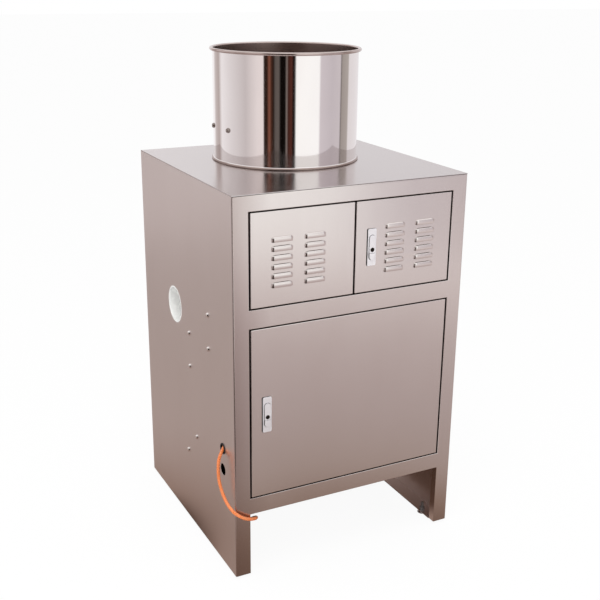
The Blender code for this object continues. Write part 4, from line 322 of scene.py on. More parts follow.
mat = started(
    bpy.ops.mesh.primitive_circle_add, "mat", vertices=ROOM_SIDES, radius=MAT_RADIUS,
    fill_type="NGON", location=(0, 0, MAT_LIFT),
)
finish = Recipe("mat_rings")
place = finish.node("ShaderNodeTexCoord", output="Object")
reach = finish.node("ShaderNodeVectorMath", {"operation": "LENGTH"}, {0: place}, output="Value")
share = reach * (1 / MAT_RADIUS)
rings = [colour_ramp(finish, share, stops) for stops in (FRONT_RINGS, SIDE_RINGS)]
bright = finish.blend(finish.along("Y") > FRONT_RINGS_END_Y, *rings)
bearing = bearing_round(finish)
strip = (bearing > DARK_STRIP[0]) * (1 - (bearing > DARK_STRIP[1])) * (reach > DARK_STRIP_START)
seen_in_reflections_only(mat, finish, finish.blend(strip, bright, DARK_STRIP_COLOUR))

# Lamps: two large soft ones, over the machine and off its front left corner. Reflections don't
# show them, so the steel mirrors the room alone.
LAMP_AIM = Vector((0, 0, 0.6))
LAMPS = (
    ("top_lamp", (-0.6, -1.0, 3.4), 2.2, 52),
    ("front_lamp", (-2.6, -2.6, 1.9), 1.6, 24),
)
for name, place, size, watts in LAMPS:
    lamp_data = bpy.data.lights.new(name, "AREA")
    lamp_data.size, lamp_data.energy = size, watts
    lamp = linked(name, lamp_data)
    lamp.location = place
    lamp.rotation_euler = (LAMP_AIM - Vector(place)).to_track_quat("-Z", "Y").to_euler()
    lamp.visible_glossy = False

# Air hose: an 8 mm polyurethane hose from the regulator, out of its hole, round the front leg and
# under the cabinet. What the photograph doesn't show lies there as a tied coil, with its fitting.
HOSE_RADIUS = 0.004
HOSE_STEP = 0.006
HOSE_BEVEL_STEPS = 5
HOSE_COLOUR = linear(230, 122, 62)
HOSE_PALE = linear(237, 144, 92)
SEAT_GAP = 0.0003
HOSE_MOUTH = Vector((-0.2695, -0.190, 0.3815 - SEAT_GAP))
HOSE_LEAD = 0.016
COIL_CENTRE = (-0.187, 0.225)
COIL_OUTER_RADIUS = 0.0525
COIL_PITCH = 0.0088
COIL_LIFT = 0.0025
COIL_TURNS_DOWN = 2.0
COIL_CLIMB_TURNS = 0.5
COIL_TURNS_UP = 1.875
COIL_POINTS_PER_TURN = 48
TAIL_LENGTH = 0.088
TAIL_FLAT = 0.032
TAIL_STEPS = 22
SMOOTH_STEPS = 12
FITTING_RADIUS = 0.009
FITTING_LENGTH = 0.042
HOSE_ROUTE = (
    (-0.3018, -0.2311, 0.3138), (-0.310, -0.2378, 0.3066), (-0.3165, -0.2432, 0.2965),
    (-0.3195, -0.2465, 0.284), (-0.3203, -0.248, 0.268), (-0.3203, -0.2505, 0.252),
    (-0.3195, -0.2565, 0.237), (-0.3178, -0.266, 0.2215), (-0.3155, -0.279, 0.2075),
    (-0.312, -0.293, 0.197), (-0.3065, -0.3055, 0.1885), (-0.2975, -0.3125, 0.181),
    (-0.2863, -0.3128, 0.1725), (-0.2742, -0.3110, 0.1655), (-0.262, -0.3065, 0.1595),
    (-0.2505, -0.299, 0.154), (-0.2415, -0.2875, 0.148), (-0.2370, -0.2735, 0.140),
    (-0.2358, -0.257, 0.129), (-0.2360, -0.238, 0.115), (-0.2365, -0.212, 0.0935),
    (-0.237, -0.182, 0.068), (-0.2375, -0.150, 0.043), (-0.238, -0.117, 0.0225),
    (-0.2385, -0.083, 0.0095), (-0.239, -0.045, 0.0055), (-0.2393, 0.0, 0.0043),
    (-0.2395, 0.05, 0.0043), (-0.2395, 0.10, 0.0043), (-0.2395, 0.16, 0.0052),
)


def smooth_route(route, step):
    """Even points along a smooth curve through the route's points, with straight ends."""
    places = [Vector(place) for place in route]
    legs = [after - before for before, after in zip(places, places[1:])]
    headings = [legs[0].normalized()]
    for before, after in zip(legs, legs[1:]):
        slope = before.normalized() * after.length + after.normalized() * before.length
        headings.append(slope.normalized())
    headings.append(legs[-1].normalized())
    headings[1], headings[-2] = headings[0], headings[-1]
    dense = [places[0]]
    for i, leg in enumerate(legs):
        near = places[i] + headings[i] * leg.length / 3
        far = places[i + 1] - headings[i + 1] * leg.length / 3
        dense += interpolate_bezier(places[i], near, far, places[i + 1], SMOOTH_STEPS)[1:]
    return even_points(dense, step)


def even_points(dense, step):
    """The same line with its points at equal distances, about one step apart."""
    lengths = [0.0]
    for before, after in zip(dense, dense[1:]):
        lengths.append(lengths[-1] + (after - before).length)
    count = round(lengths[-1] / step)
    points, index = [dense[0]], 0
    for i in range(1, count):
        target = lengths[-1] * i / count
        while lengths[index + 1] < target:
            index += 1
        share = (target - lengths[index]) / (lengths[index + 1] - lengths[index])
        points.append(dense[index].lerp(dense[index + 1], share))
    return points + [dense[-1]]


def eased(share):
    return share * share * (3 - 2 * share)


def coil_points():
    """A flat layer of loops inwards, a climb, and a second layer outwards on top of it."""
    cx, cy = COIL_CENTRE
    inner = COIL_OUTER_RADIUS - COIL_PITCH * COIL_TURNS_DOWN
    climb_end = COIL_TURNS_DOWN + COIL_CLIMB_TURNS
    low = COIL_LIFT + HOSE_RADIUS
    points = [Vector((cx - COIL_OUTER_RADIUS, cy - 2 * HOSE_RADIUS, low))]
    for i in range(round((climb_end + COIL_TURNS_UP) * COIL_POINTS_PER_TURN) + 1):
        turn = i / COIL_POINTS_PER_TURN
        if turn < COIL_TURNS_DOWN:
            radius, rise = COIL_OUTER_RADIUS - COIL_PITCH * turn, 0
        elif turn < climb_end:
            share = (turn - COIL_TURNS_DOWN) / COIL_CLIMB_TURNS
            radius = inner - COIL_PITCH * share * (1 - share) / 2
            rise = COIL_PITCH * eased(share)
        else:
            radius, rise = inner + COIL_PITCH * (turn - climb_end), COIL_PITCH
        angle = math.tau * (1 / 2 - turn)
        place = (cx + radius * math.cos(angle), cy + radius * math.sin(angle), low + rise)
        points.append(Vector(place))
    return points + tail_points(points[-1], Vector((math.sin(angle), -math.cos(angle), 0)))


def tail_points(start, heading):
    """The hose's end runs straight off the coil and comes down to the floor."""
    low = FITTING_RADIUS + SEAT_GAP
    slope_length = TAIL_LENGTH - TAIL_FLAT - 2 * HOSE_RADIUS
    points = []
    for i in range(1, TAIL_STEPS + 1):
        along = TAIL_LENGTH * i / TAIL_STEPS
        share = min(1.0, max(0.0, (along - TAIL_FLAT) / slope_length))
        drop = Vector((0, 0, (start.z - low) * eased(share)))
        points.append(start + heading * along - drop)
    return points


def added(thing, finish, node):
    """Gives a piece its finish, and lets it move with this node's body."""
    thing.data.materials.clear()
    thing.data.materials.append(finish)
    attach(thing, frame["nodes"][node]["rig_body"])
    return thing


def settled(thing, finish, *nodes):
    """Lets a finished piece stand for these solids, in the first one's body."""
    added(thing, finish, nodes[0])
    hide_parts(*nodes)
    return thing


coil = coil_points()
first = Vector(HOSE_ROUTE[0])
leaving = (Vector(HOSE_ROUTE[1]) - first).normalized()
down = Vector((0, 0, HOSE_LEAD))
below_mouth = HOSE_MOUTH + Vector((0, 0, SEAT_GAP)) - down
inside_run = [HOSE_MOUTH, below_mouth, first - leaving * HOSE_LEAD]
lead_in = [coil[0] - Vector((0, 5 * HOSE_RADIUS, 0)), coil[0] - Vector((0, SEAT_GAP, 0))]
hose_line = smooth_route([*inside_run, *HOSE_ROUTE, *lead_in], HOSE_STEP) + coil
hose_curve = bpy.data.curves.new("orange_air_hose", "CURVE")
hose_curve.dimensions = "3D"
hose_curve.bevel_depth = HOSE_RADIUS
hose_curve.bevel_resolution = HOSE_BEVEL_STEPS
hose_curve.use_fill_caps = True
spline = hose_curve.splines.new("POLY")
spline.points.add(len(hose_line) - 1)
for point, place in zip(spline.points, hose_line):
    point.co = (*place, 1.0)
spline.use_smooth = True
hose = linked("orange_air_hose", hose_curve)

# Glossy, slightly cloudy polyurethane with fine scuffs
plastic = Recipe("orange_hose_plastic")
cloud = plastic.noise(40, detail=3)
scuff = plastic.noise((900, 900, 300), detail=2)
plastic.shade(
    Base_Color=plastic.blend(cloud, HOSE_COLOUR, HOSE_PALE),
    Roughness=scuff * 0.10 + 0.22,
    Normal=plastic.bump(scuff, 0.00004),
    Subsurface_Weight=0.12,
    Subsurface_Radius=(0.004, 0.002, 0.001),
    Coat_Weight=0.25,
)
orange_plastic = plastic.owner
settled(hose, orange_plastic, "air_hose", "air_hose_coil")

# Hose fitting and tie: a turned brass push-in plug with a raised collar on the hose's far end, and
# a black strap round the front of the coil.
BRASS_LIGHT = (0.74, 0.55, 0.27)
BRASS_DULL = (0.58, 0.41, 0.18)
BLACK = (0.022, 0.022, 0.023)
ROUND_SIDES = 64
MERGE_DISTANCE = 0.00002
POLE_RADIUS = 0.00001
FLAT_ANGLE = math.radians(0.5)
MOULDED_EDGE = 0.0004


def turned(name, base, axis, profile, sides=ROUND_SIDES):
    """A round piece: a circle drawn out ring by ring along its profile of (radius, height)."""
    rings = [(max(radius, POLE_RADIUS), height) for radius, height in profile]
    thing = started(
        bpy.ops.mesh.primitive_circle_add, name, vertices=sides, radius=rings[0][0],
        location=(0, 0, rings[0][1]),
    )
    bpy.ops.object.mode_set(mode="EDIT")
    bpy.ops.mesh.select_all(action="SELECT")
    for (before, low), (after, high) in zip(rings, rings[1:]):
        rise = {"value": (0, 0, high - low)}
        bpy.ops.mesh.extrude_region_move(TRANSFORM_OT_translate=rise)
        widen = after / before
        bpy.ops.transform.resize(value=(widen, widen, 1), center_override=(0, 0, 0))
    bpy.ops.mesh.select_all(action="SELECT")
    bpy.ops.mesh.remove_doubles(threshold=MERGE_DISTANCE)
    bpy.ops.mesh.normals_make_consistent(inside=False)
    bpy.ops.object.mode_set(mode="OBJECT")
    turn = Vector(axis).to_track_quat("Z", "Y").to_matrix().to_4x4()
    thing.data.transform(Matrix.Translation(base) @ turn)
    return smooth(thing)


def only(*things):
    """Selects these objects and nothing else."""
    bpy.ops.object.select_all(action="DESELECT")
    for thing in things:
        thing.select_set(True)
    bpy.context.view_layer.objects.active = things[0]


def smooth(thing, degrees=35):
    """Rounds off the shading of everything but the real edges."""
    only(thing)
    bpy.ops.object.shade_smooth_by_angle(angle=math.radians(degrees))
    return thing


def worked(thing, kind, **settings):
    """Adds one modifier and applies it."""
    only(thing)
    modifier = thing.modifiers.new(kind.lower(), kind)
    for key, value in settings.items():
        setattr(modifier, key, value)
    bpy.ops.object.modifier_apply(modifier=modifier.name)
    return thing


def weigh_normals(thing, **settings):
    """Keeps the shading of the large flat faces flat."""
    return worked(thing, "WEIGHTED_NORMAL", weight=100, **settings)


def ease_edges(thing, width, segments=2, degrees=38):
    """A small round on every real edge."""
    worked(
        thing, "BEVEL", width=width, segments=segments, limit_method="ANGLE",
        angle_limit=math.radians(degrees), harden_normals=False,
    )
    return weigh_normals(smooth(thing, degrees), keep_sharp=True)


def dressed(finish, edge, *nodes):
    """Merged copies of solids, edges eased and round faces smooth. It gives back the last one."""
    for node in nodes:
        copy = linked(node + "_finished", frame["nodes"][node].data.copy())
        only(copy)
        if copy.data.has_custom_normals:
            bpy.ops.mesh.customdata_custom_splitnormals_clear()
        bpy.ops.object.mode_set(mode="EDIT")
        bpy.ops.mesh.select_all(action="SELECT")
        bpy.ops.mesh.remove_doubles(threshold=MERGE_DISTANCE)
        bpy.ops.mesh.dissolve_limited(angle_limit=FLAT_ANGLE)
        bpy.ops.object.mode_set(mode="OBJECT")
        settled(smooth(copy), finish, node)
        if edge:
            ease_edges(copy, edge)
    return copy


def soft_metal(name, light, dull, roughness, grain=260, depth=0.00006, metallic=1.0):
    """Turned or cast metal: fine tool marks, and a dull bloom where it has been handled."""
    metal = Recipe(name)
    bloom = metal.noise(18, detail=4)
    marks = metal.noise(grain, detail=3)
    metal.shade(
        Base_Color=metal.blend(bloom, light, dull),
        Metallic=metallic,
        Roughness=bloom * 0.14 + roughness,
        Normal=metal.bump(marks, depth, 0.5),
    )
    return metal.owner


brass = soft_metal("turned_brass", BRASS_LIGHT, BRASS_DULL, 0.20, 700, 0.00003)
heading = (coil[-1] - coil[-2]).normalized()
neck, collar, span = FITTING_RADIUS * 2 / 3, FITTING_RADIUS, FITTING_LENGTH
fitting_profile = [
    (HOSE_RADIUS, span), (HOSE_RADIUS, span * 0.84), (neck, span * 0.80), (neck, span * 0.67),
    (collar * 0.93, span * 0.645), (collar, span * 0.61), (collar, span * 0.27),
    (collar * 0.93, span * 0.245), (neck, span * 0.21), (neck, span * 0.02), (neck * 0.93, 0),
    (HOSE_RADIUS * 0.7, 0), (HOSE_RADIUS * 0.7, span * 0.9), (HOSE_RADIUS * 0.9, span),
    (HOSE_RADIUS, span),
]
fitting = turned("brass_hose_fitting", coil[-1] + heading * SEAT_GAP, heading, fitting_profile)
settled(fitting, brass, "hose_fitting")


def moulded(name, colour, roughness, sheen=0.0):
    """Moulded plastic or rubber: a fine even texture, a slow drift of tone and light scuffs."""
    plastic = Recipe(name)
    drift = plastic.noise(14, detail=3)
    texture = plastic.noise(1400, detail=1)
    scuff = plastic.noise((60, 60, 220), detail=4) > 0.68
    pale = tuple(min(1.0, value * 1.25 + 0.012) for value in colour)
    plastic.shade(
        Base_Color=plastic.blend(drift * 0.5 + scuff * 0.25, colour, pale),
        Roughness=drift * 0.12 + scuff * 0.08 + roughness,
        Normal=plastic.bump(texture, 0.00003, 0.6),
        Coat_Weight=sheen,
    )
    return plastic.owner


black_plastic = moulded("black_moulded_plastic", BLACK, 0.38)
tie = dressed(black_plastic, MOULDED_EDGE, "coil_tie")
hose_length = sum((after - before).length for before, after in zip(hose_line, hose_line[1:]))

# Grommet: a moulded black rubber ring in the hose hole of the left panel. Its groove grips the
# sheet's edge, and its lips keep the hose off the cut steel.
GROMMET_PLACE = (-0.3003, -0.229, 0.316)
GROMMET_BORE = 0.0105
GROMMET_LIP = 0.0015
GROMMET_OUTER = 0.0135
GROMMET_GROOVE = 0.0117
GROMMET_FAR = 0.0021
RUBBER_BLACK = (0.018, 0.017, 0.017)
rubber = moulded("black_rubber", RUBBER_BLACK, 0.55)
lip, round_off = GROMMET_LIP, GROMMET_LIP / 3
grommet_profile = [
    (GROMMET_BORE, 0), (GROMMET_BORE, -lip + round_off), (GROMMET_BORE + round_off, -lip),
    (GROMMET_OUTER - round_off, -lip), (GROMMET_OUTER, -lip + round_off), (GROMMET_OUTER, 0),
    (GROMMET_GROOVE, 0), (GROMMET_GROOVE, GROMMET_FAR), (GROMMET_OUTER, GROMMET_FAR),
    (GROMMET_OUTER, GROMMET_FAR + lip - round_off), (GROMMET_OUTER - round_off, GROMMET_FAR + lip),
    (GROMMET_BORE + round_off, GROMMET_FAR + lip), (GROMMET_BORE, GROMMET_FAR + lip - round_off),
    (GROMMET_BORE, 0),
]
grommet = turned("rubber_hose_grommet", GROMMET_PLACE, (1, 0, 0), grommet_profile)
settled(grommet, rubber, "hose_grommet")

# Cabinet: folded 1.5 mm stainless sheet, brushed. The side panels carry the feet on their lower
# flanges, and the front frame, top, back, floor pan and shelf are set in between them. The doors'
# hinge pins are welded into the frame; their dark colour is painted shade for the door gaps.
STEEL_PALE = linear(242, 236, 234)
STEEL_WARM = linear(230, 222, 219)
# The front frame's colour fades to a darker painted shade beyond this X at its left, by so much
# to a metre
STILE_PAINTED_SHADE = linear(200, 187, 184)
STILE_FADE_X = 0.21
STILE_FADE = 11
# Painted shade: the top sheet's colours are a darker copy of the steel's
TOP_SHADED_PALE = linear(217, 212, 212)
TOP_SHADED_WARM = linear(205, 198, 196)
HALF_WIDTH = 0.300
FRONT_Y = -HALF_WIDTH
TOP_Z = 0.932
SHEET = 0.0015
CORNER_RADIUS = 0.003
FOLD_RADIUS = 0.0011
FOLD_SEGMENTS = 4
FOLD_ANGLE = 50
CUT_EDGE = 0.00025
NEAR = 0.00005
# How many strokes of the brush cross a metre along X, Y and Z
UPRIGHT_GRAIN = (620, 620, 5)
LENGTHWISE_GRAIN = (5, 620, 620)
FINE_STROKES = 2.7
GRAIN_DEPTH = 0.00002
WAVE_DEPTH = 0.0012
HINGE_X = 0.250
HINGE_Y = -0.292
PIN_REACH = 0.0045
# Painted shade: the hinge pins' dark colours stand in for the shadow in the door gaps
PIN_SHADE_LIGHT = linear(62, 56, 52)
PIN_SHADE_DARK = linear(38, 34, 31)


def brushed_steel(name, grain, rough=0.15, stile_shade=False, warm=STEEL_WARM, pale=STEEL_PALE):
    """Brushed stainless sheet: strokes, smears and a slow drift of tone on slightly wavy sheet."""
    steel = Recipe(name)
    strokes = steel.noise(grain, detail=3)
    fine = steel.noise(tuple(value * FINE_STROKES for value in grain), detail=2)
    drift = steel.noise((2.1, 2.1, 1.4), detail=3)
    smear = steel.noise((11, 11, 5), detail=4, distortion=0.6)
    waves = steel.noise((4.5, 4.5, 3.0), detail=1)
    colour = steel.blend(strokes * 0.22 + drift * 0.5 + smear * 0.28, warm, pale)
    # Painted shade: the left stile darkens towards the frame's left edge
    if stile_shade:
        share = (0 - steel.along("X") - STILE_FADE_X) * STILE_FADE
        share = steel.node("ShaderNodeClamp", inputs={"Value": share})
        colour = steel.blend(share, colour, STILE_PAINTED_SHADE)
    wavy = steel.bump(waves, WAVE_DEPTH, 0.16)
    steel.shade(
        Base_Color=colour,
        Metallic=1.0,
        Roughness=fine * 0.07 + smear * 0.06 + rough,
        Normal=steel.bump(fine + strokes, GRAIN_DEPTH, 0.55, wavy),
    )
    return steel.owner


def pick(thing, kind, test):
    """In edit mode, selects just those points, edges or faces that pass a test."""
    bpy.ops.mesh.select_mode(type=kind)
    bpy.ops.mesh.select_all(action="DESELECT")
    mesh = bmesh.from_edit_mesh(thing.data)
    for part in {"VERT": mesh.verts, "EDGE": mesh.edges, "FACE": mesh.faces}[kind]:
        if test(part):
            part.select_set(True)
    mesh.select_flush_mode()
    bmesh.update_edit_mesh(thing.data)


def both_ends(edge, test):
    return all(test(end.co) for end in edge.verts)


def is_fold(edge, test):
    """Whether an edge is a sharp corner and both of its ends pass the test."""
    return edge.calc_face_angle(0) > math.radians(FOLD_ANGLE) and both_ends(edge, test)


def folded(finish, node, *folds):
    """A merged copy of a sheet solid, with a bend's radius along the edges that pass each test."""
    copy = dressed(finish, None, node)
    only(copy)
    bpy.ops.object.mode_set(mode="EDIT")
    for radius, test in folds:
        pick(copy, "EDGE", lambda edge: is_fold(edge, test))
        bpy.ops.mesh.bevel(offset=radius, segments=FOLD_SEGMENTS, affect="EDGES")
    bpy.ops.object.mode_set(mode="OBJECT")
    return ease_edges(copy, CUT_EDGE, segments=1, degrees=FOLD_ANGLE)


def at_front_corner(point):
    return point.y < FRONT_Y + NEAR and abs(point.x) > HALF_WIDTH - NEAR


def at_front_opening(point):
    return point.y < FRONT_Y + NEAR and abs(point.x) < HALF_WIDTH - CORNER_RADIUS - NEAR


def at_top_rim(point):
    return point.z > TOP_Z - NEAR and max(abs(point.x), abs(point.y)) > HALF_WIDTH - NEAR


upright_grain = brushed_steel("brushed_steel_upright_grain", UPRIGHT_GRAIN)
lengthwise_grain = brushed_steel("brushed_steel_lengthwise_grain", LENGTHWISE_GRAIN)
frame_grain_and_shade = brushed_steel("brushed_steel_front_frame_painted_shade", UPRIGHT_GRAIN, stile_shade=True)
side_grain = brushed_steel("brushed_steel_side_sheet", UPRIGHT_GRAIN, rough=0.26)
top_shaded_grain = brushed_steel(
    "brushed_steel_top_sheet_shaded", LENGTHWISE_GRAIN, warm=TOP_SHADED_WARM, pale=TOP_SHADED_PALE
)
front = folded(
    frame_grain_and_shade, "front_frame",
    (CORNER_RADIUS, at_front_corner), (FOLD_RADIUS, at_front_opening),
)
# Painted shade: the hinge pins, seen in the door gaps, take a dark steel colour
front.data.materials.append(soft_metal("dark_pin_steel_painted_shade", PIN_SHADE_LIGHT, PIN_SHADE_DARK, 0.42))
for face in front.data.polygons:
    reach = Vector((abs(face.center.x) - HINGE_X, face.center.y - HINGE_Y)).length
    face.material_index = int(reach < PIN_REACH)
folded(top_shaded_grain, "top_panel", (FOLD_RADIUS, at_top_rim))
dressed(side_grain, CUT_EDGE, "left_side_panel", "right_side_panel", "back_panel")
dressed(lengthwise_grain, CUT_EDGE, "floor_pan", "divider_shelf")

# Doors: shallow pans of the same sheet, folded back at the four edges. The two upper doors have
# louvres pressed outwards, rounded like half almonds, each slit open underneath.
DOOR_DEPTH = 0.020
DOOR_FOLD_RADIUS = 0.0014
DOOR_GAP = 0.002
DOOR_REACH = 0.258
UPPER_SPAN_Z = (0.6767, 0.8913)
LOWER_SPAN_Z = (0.2119, 0.6270)
HINGE_HOLE = 0.0028
LOUVRE_WIDTH = 0.052
LOUVRE_HEIGHT = 0.0125
LOUVRE_SKIRT = 0.0062
LOUVRE_DEPTH = 0.0048
LOUVRE_END = 0.0100
LOUVRE_WALL = 0.0009
LOUVRE_ROOT = 0.0006
LOUVRE_SLIT = (0.0435, 0.0095)
LOUVRE_PITCH = 0.0206
LOUVRE_TOP_ROW_Z = 0.8283
LOUVRE_ROWS = 6
LOUVRE_SHADING = 40
LOUVRE_COLUMNS_X = {"upper_left_door": (-0.1825, -0.1015), "upper_right_door": (0.1048, 0.1860)}
CUT_MARGIN = 0.004
LATCH_X = {"upper": 0.0435, "lower": -0.2193}
LATCH_Z = {"upper": 0.7826, "lower": 0.41805}
LEVER_TOP_RISE = 0.0285
SPINDLE_DROP = 0.0075
STEM_DROP = 0.0505
SPINDLE_RADIUS = 0.005
STEM_RADIUS = 0.0025
HOLE_SIDES = 24
DOOR_SHADING = 25


def about(middle, half):
    """The span that reaches equally far to both sides of its middle."""
    return middle - half, middle + half


def block(name, x_span, y_span, z_span):
    """A plain block between these sides."""
    low, high = (Vector(corner) for corner in zip(x_span, y_span, z_span))
    return started(
        bpy.ops.mesh.primitive_cube_add, name, size=1, location=(low + high) / 2, scale=high - low
    )


def peg(name, base, axis, radius, length, sides=ROUND_SIDES):
    """A plain cylinder from its base along an axis, to cut with or to shape further."""
    profile = [(0, 0), (radius, 0), (radius, length), (0, length)]
    return turned(name, base, axis, profile, sides)


def joined(first, *others):
    """Makes several pieces one piece."""
    if others:
        only(first, *others)
        bpy.ops.object.join()
    return first


def carved(thing, cutter, operation="DIFFERENCE"):
    """Cuts one shape out of a piece, joins it on or keeps what both hold."""
    worked(thing, "BOOLEAN", operation=operation, object=cutter, solver="EXACT")
    bpy.data.objects.remove(cutter)
    return thing


def drilled(thing, base, axis, radius, depth, sides=HOLE_SIDES):
    """Cuts a round hole into a piece, from its base along an axis."""
    return carved(thing, peg("cutter", base, axis, radius, depth, sides))


def copied(thing, name, move):
    """A second piece like the first, with its own mesh."""
    twin = linked(name, thing.data.copy())
    twin.data.transform(Matrix.Translation(move))
    return twin


def latch_places(which):
    """The latch's x, and the heights of its lever's top, its spindle and its button's stem."""
    top = LATCH_Z[which] + LEVER_TOP_RISE
    return LATCH_X[which], top, top - SPINDLE_DROP, top - STEM_DROP


def bored_for_latch(thing, which):
    """Cuts the holes for a latch's spindle and for its button's stem."""
    x, _, spindle_z, stem_z = latch_places(which)
    start, depth = FRONT_Y - CUT_MARGIN, SHEET + 2 * CUT_MARGIN
    pegs = []
    for z, radius in ((spindle_z, SPINDLE_RADIUS), (stem_z, STEM_RADIUS)):
        pegs.append(peg("cutter", (x, start, z), (0, 1, 0), radius + SEAT_GAP, depth, HOLE_SIDES))
    return carved(thing, joined(*pegs))


def door_pan(name, x_span, z_span, hinge_x):
    """The pan of a door, open at the back, with the holes for its two hinge pins."""
    door = block(name, x_span, (FRONT_Y, FRONT_Y + DOOR_DEPTH), z_span)
    bpy.ops.object.mode_set(mode="EDIT")
    pick(door, "FACE", lambda face: face.normal.y > 0.5)
    bpy.ops.mesh.delete(type="FACE")
    pick(door, "EDGE", lambda edge: not edge.is_boundary)
    bpy.ops.mesh.bevel(offset=DOOR_FOLD_RADIUS, segments=FOLD_SEGMENTS, affect="EDGES")
    bpy.ops.object.mode_set(mode="OBJECT")
    worked(door, "SOLIDIFY", thickness=SHEET, offset=-1, use_even_offset=True)
    base = (hinge_x, HINGE_Y, z_span[0] - CUT_MARGIN)
    height = z_span[1] - z_span[0] + 2 * CUT_MARGIN
    return drilled(door, base, (0, 0, 1), HINGE_HOLE, height)


def louvre_hood(x, z):
    """One pressed hood: half of a ball, drawn out along the door and cut open underneath."""
    hood = started(
        bpy.ops.mesh.primitive_uv_sphere_add, "louvre_hood", segments=24, ring_count=16, radius=1
    )
    bpy.ops.object.mode_set(mode="EDIT")
    bpy.ops.mesh.select_all(action="SELECT")
    size = (LOUVRE_END, LOUVRE_DEPTH, LOUVRE_HEIGHT - LOUVRE_SKIRT)
    bpy.ops.transform.resize(value=size, center_override=(0, 0, 0))
    bpy.ops.mesh.bisect(plane_co=(0, 0, 0), plane_no=(0, 0, 1), clear_inner=True)
    bpy.ops.mesh.select_all(action="SELECT")
    bpy.ops.mesh.bisect(plane_co=(0, LOUVRE_ROOT, 0), plane_no=(0, 1, 0), clear_outer=True)
    pick(hood, "EDGE", lambda edge: both_ends(edge, lambda point: abs(point.z) < NEAR))
    skirt = {"value": (0, 0, -LOUVRE_SKIRT)}
    bpy.ops.mesh.extrude_edges_move(TRANSFORM_OT_translate=skirt)
    draw_out = LOUVRE_WIDTH / 2 - LOUVRE_END
    for side in (-1, 1):
        pick(hood, "VERT", lambda point: side * point.co.x > NEAR)
        bpy.ops.transform.translate(value=(side * draw_out, 0, 0))
    bpy.ops.object.mode_set(mode="OBJECT")
    worked(hood, "SOLIDIFY", thickness=LOUVRE_WALL, offset=-1)
    low = z - LOUVRE_HEIGHT / 2 + LOUVRE_SKIRT
    hood.data.transform(Matrix.Translation((x, FRONT_Y, low)))
    return smooth(hood, LOUVRE_SHADING)


def add_louvres(door, columns):
    """Cuts the slits, then sets a hood over each of them."""
    slit_y = (FRONT_Y - CUT_MARGIN, FRONT_Y + 2 * CUT_MARGIN)
    slits, hoods, pattern = [], [], louvre_hood(columns[0], LOUVRE_TOP_ROW_Z)
    for x in columns:
        for row in range(LOUVRE_ROWS):
            drop = row * LOUVRE_PITCH
            low = LOUVRE_TOP_ROW_Z - drop - LOUVRE_HEIGHT / 2
            slit_x = about(x, LOUVRE_SLIT[0] / 2)
            slits.append(block("cutter", slit_x, slit_y, (low, low + LOUVRE_SLIT[1])))
            hoods.append(copied(pattern, "louvre_hood", (x - columns[0], 0, -drop)))
    carved(door, joined(*slits))
    bpy.data.objects.remove(pattern)
    return joined(door, *hoods)


RIGHT_SPAN_X = (DOOR_GAP, DOOR_REACH)
LEFT_SPAN_X = (-DOOR_REACH, -DOOR_GAP)
for node, name, x_span, z_span, hinge_x, latch in (
    ("upper_left_door", "left_louvred_door", LEFT_SPAN_X, UPPER_SPAN_Z, -HINGE_X, None),
    ("upper_right_door", "right_louvred_door", RIGHT_SPAN_X, UPPER_SPAN_Z, HINGE_X, "upper"),
    ("lower_door", "plain_lower_door", about(0, DOOR_REACH), LOWER_SPAN_Z, HINGE_X, "lower"),
):
    door = door_pan(name, x_span, z_span, hinge_x)
    if latch:
        bored_for_latch(door, latch)
    smooth(door, DOOR_SHADING)
    if node in LOUVRE_COLUMNS_X:
        add_louvres(door, LOUVRE_COLUMNS_X[node])
    settled(weigh_normals(door), upright_grain, node)

# Latches: a cast and satin-plated plate on the door, a long lever that lifts out of it with a key
# plug in it, the push button that frees the lever, and the tongue on the lever's spindle. Under
# the plate lies a thin black rubber sheet, wider at its left, as painted shade for the plate's
# shadow line.
LATCH_SIZE = (0.022, 0.087)
LATCH_CORNER = 0.003
PLATE_SPAN_Y = (-0.3023, -0.3003)
LEVER_SPAN_Y = (-0.3048, -0.3026)
BUTTON_SPAN_Y = (-0.3056, -0.3041)
BUTTON_STEM_END = -0.2970
LEVER_WIDTH = 0.015
LEVER_LENGTH = 0.058
BUTTON_LENGTH = 0.016
BUTTON_GAP = 0.0005
PARTING_START_Y = -0.32
PARTING_DEPTH = 0.03
KEY_RADIUS = 0.0048
KEY_FRONT_Y = -0.3054
KEY_DROP = 0.034
KEY_SLOT = (0.0014, 0.0062, 0.0016)
POCKET_MARGIN = 0.0008
POCKET_DEPTH = 0.0012
POCKET_SPAN_Y = (PLATE_SPAN_Y[0] - CUT_MARGIN, PLATE_SPAN_Y[0] + POCKET_DEPTH)
SHADE_GASKET_SPAN_Y = (-0.3013, -0.3001)
SHADE_GASKET_MARGIN = 0.0003
SHADE_GASKET_LEFT = 0.0014
SMALL_EDGE = 0.0003
OBLONG_SEGMENTS = 10
PLATE_SEGMENTS = 6
PARTING_SIDES = 128
KEY_SIDES = 48
PLATED_PALE = linear(253, 252, 254)
PLATED_DULL = linear(238, 236, 240)
ZINC_PALE = linear(196, 198, 202)
ZINC_DULL = linear(150, 150, 152)
BLACKENED_PALE = linear(70, 64, 60)
BLACKENED_DULL = linear(38, 34, 32)
bright_plate = soft_metal(
    "satin_plated_zinc", PLATED_PALE, PLATED_DULL, 0.26, grain=500, depth=0.00002, metallic=0.6
)
zinc = soft_metal("zinc_plated_steel", ZINC_PALE, ZINC_DULL, 0.30)
dark_key = soft_metal("blackened_steel", BLACKENED_PALE, BLACKENED_DULL, 0.34)


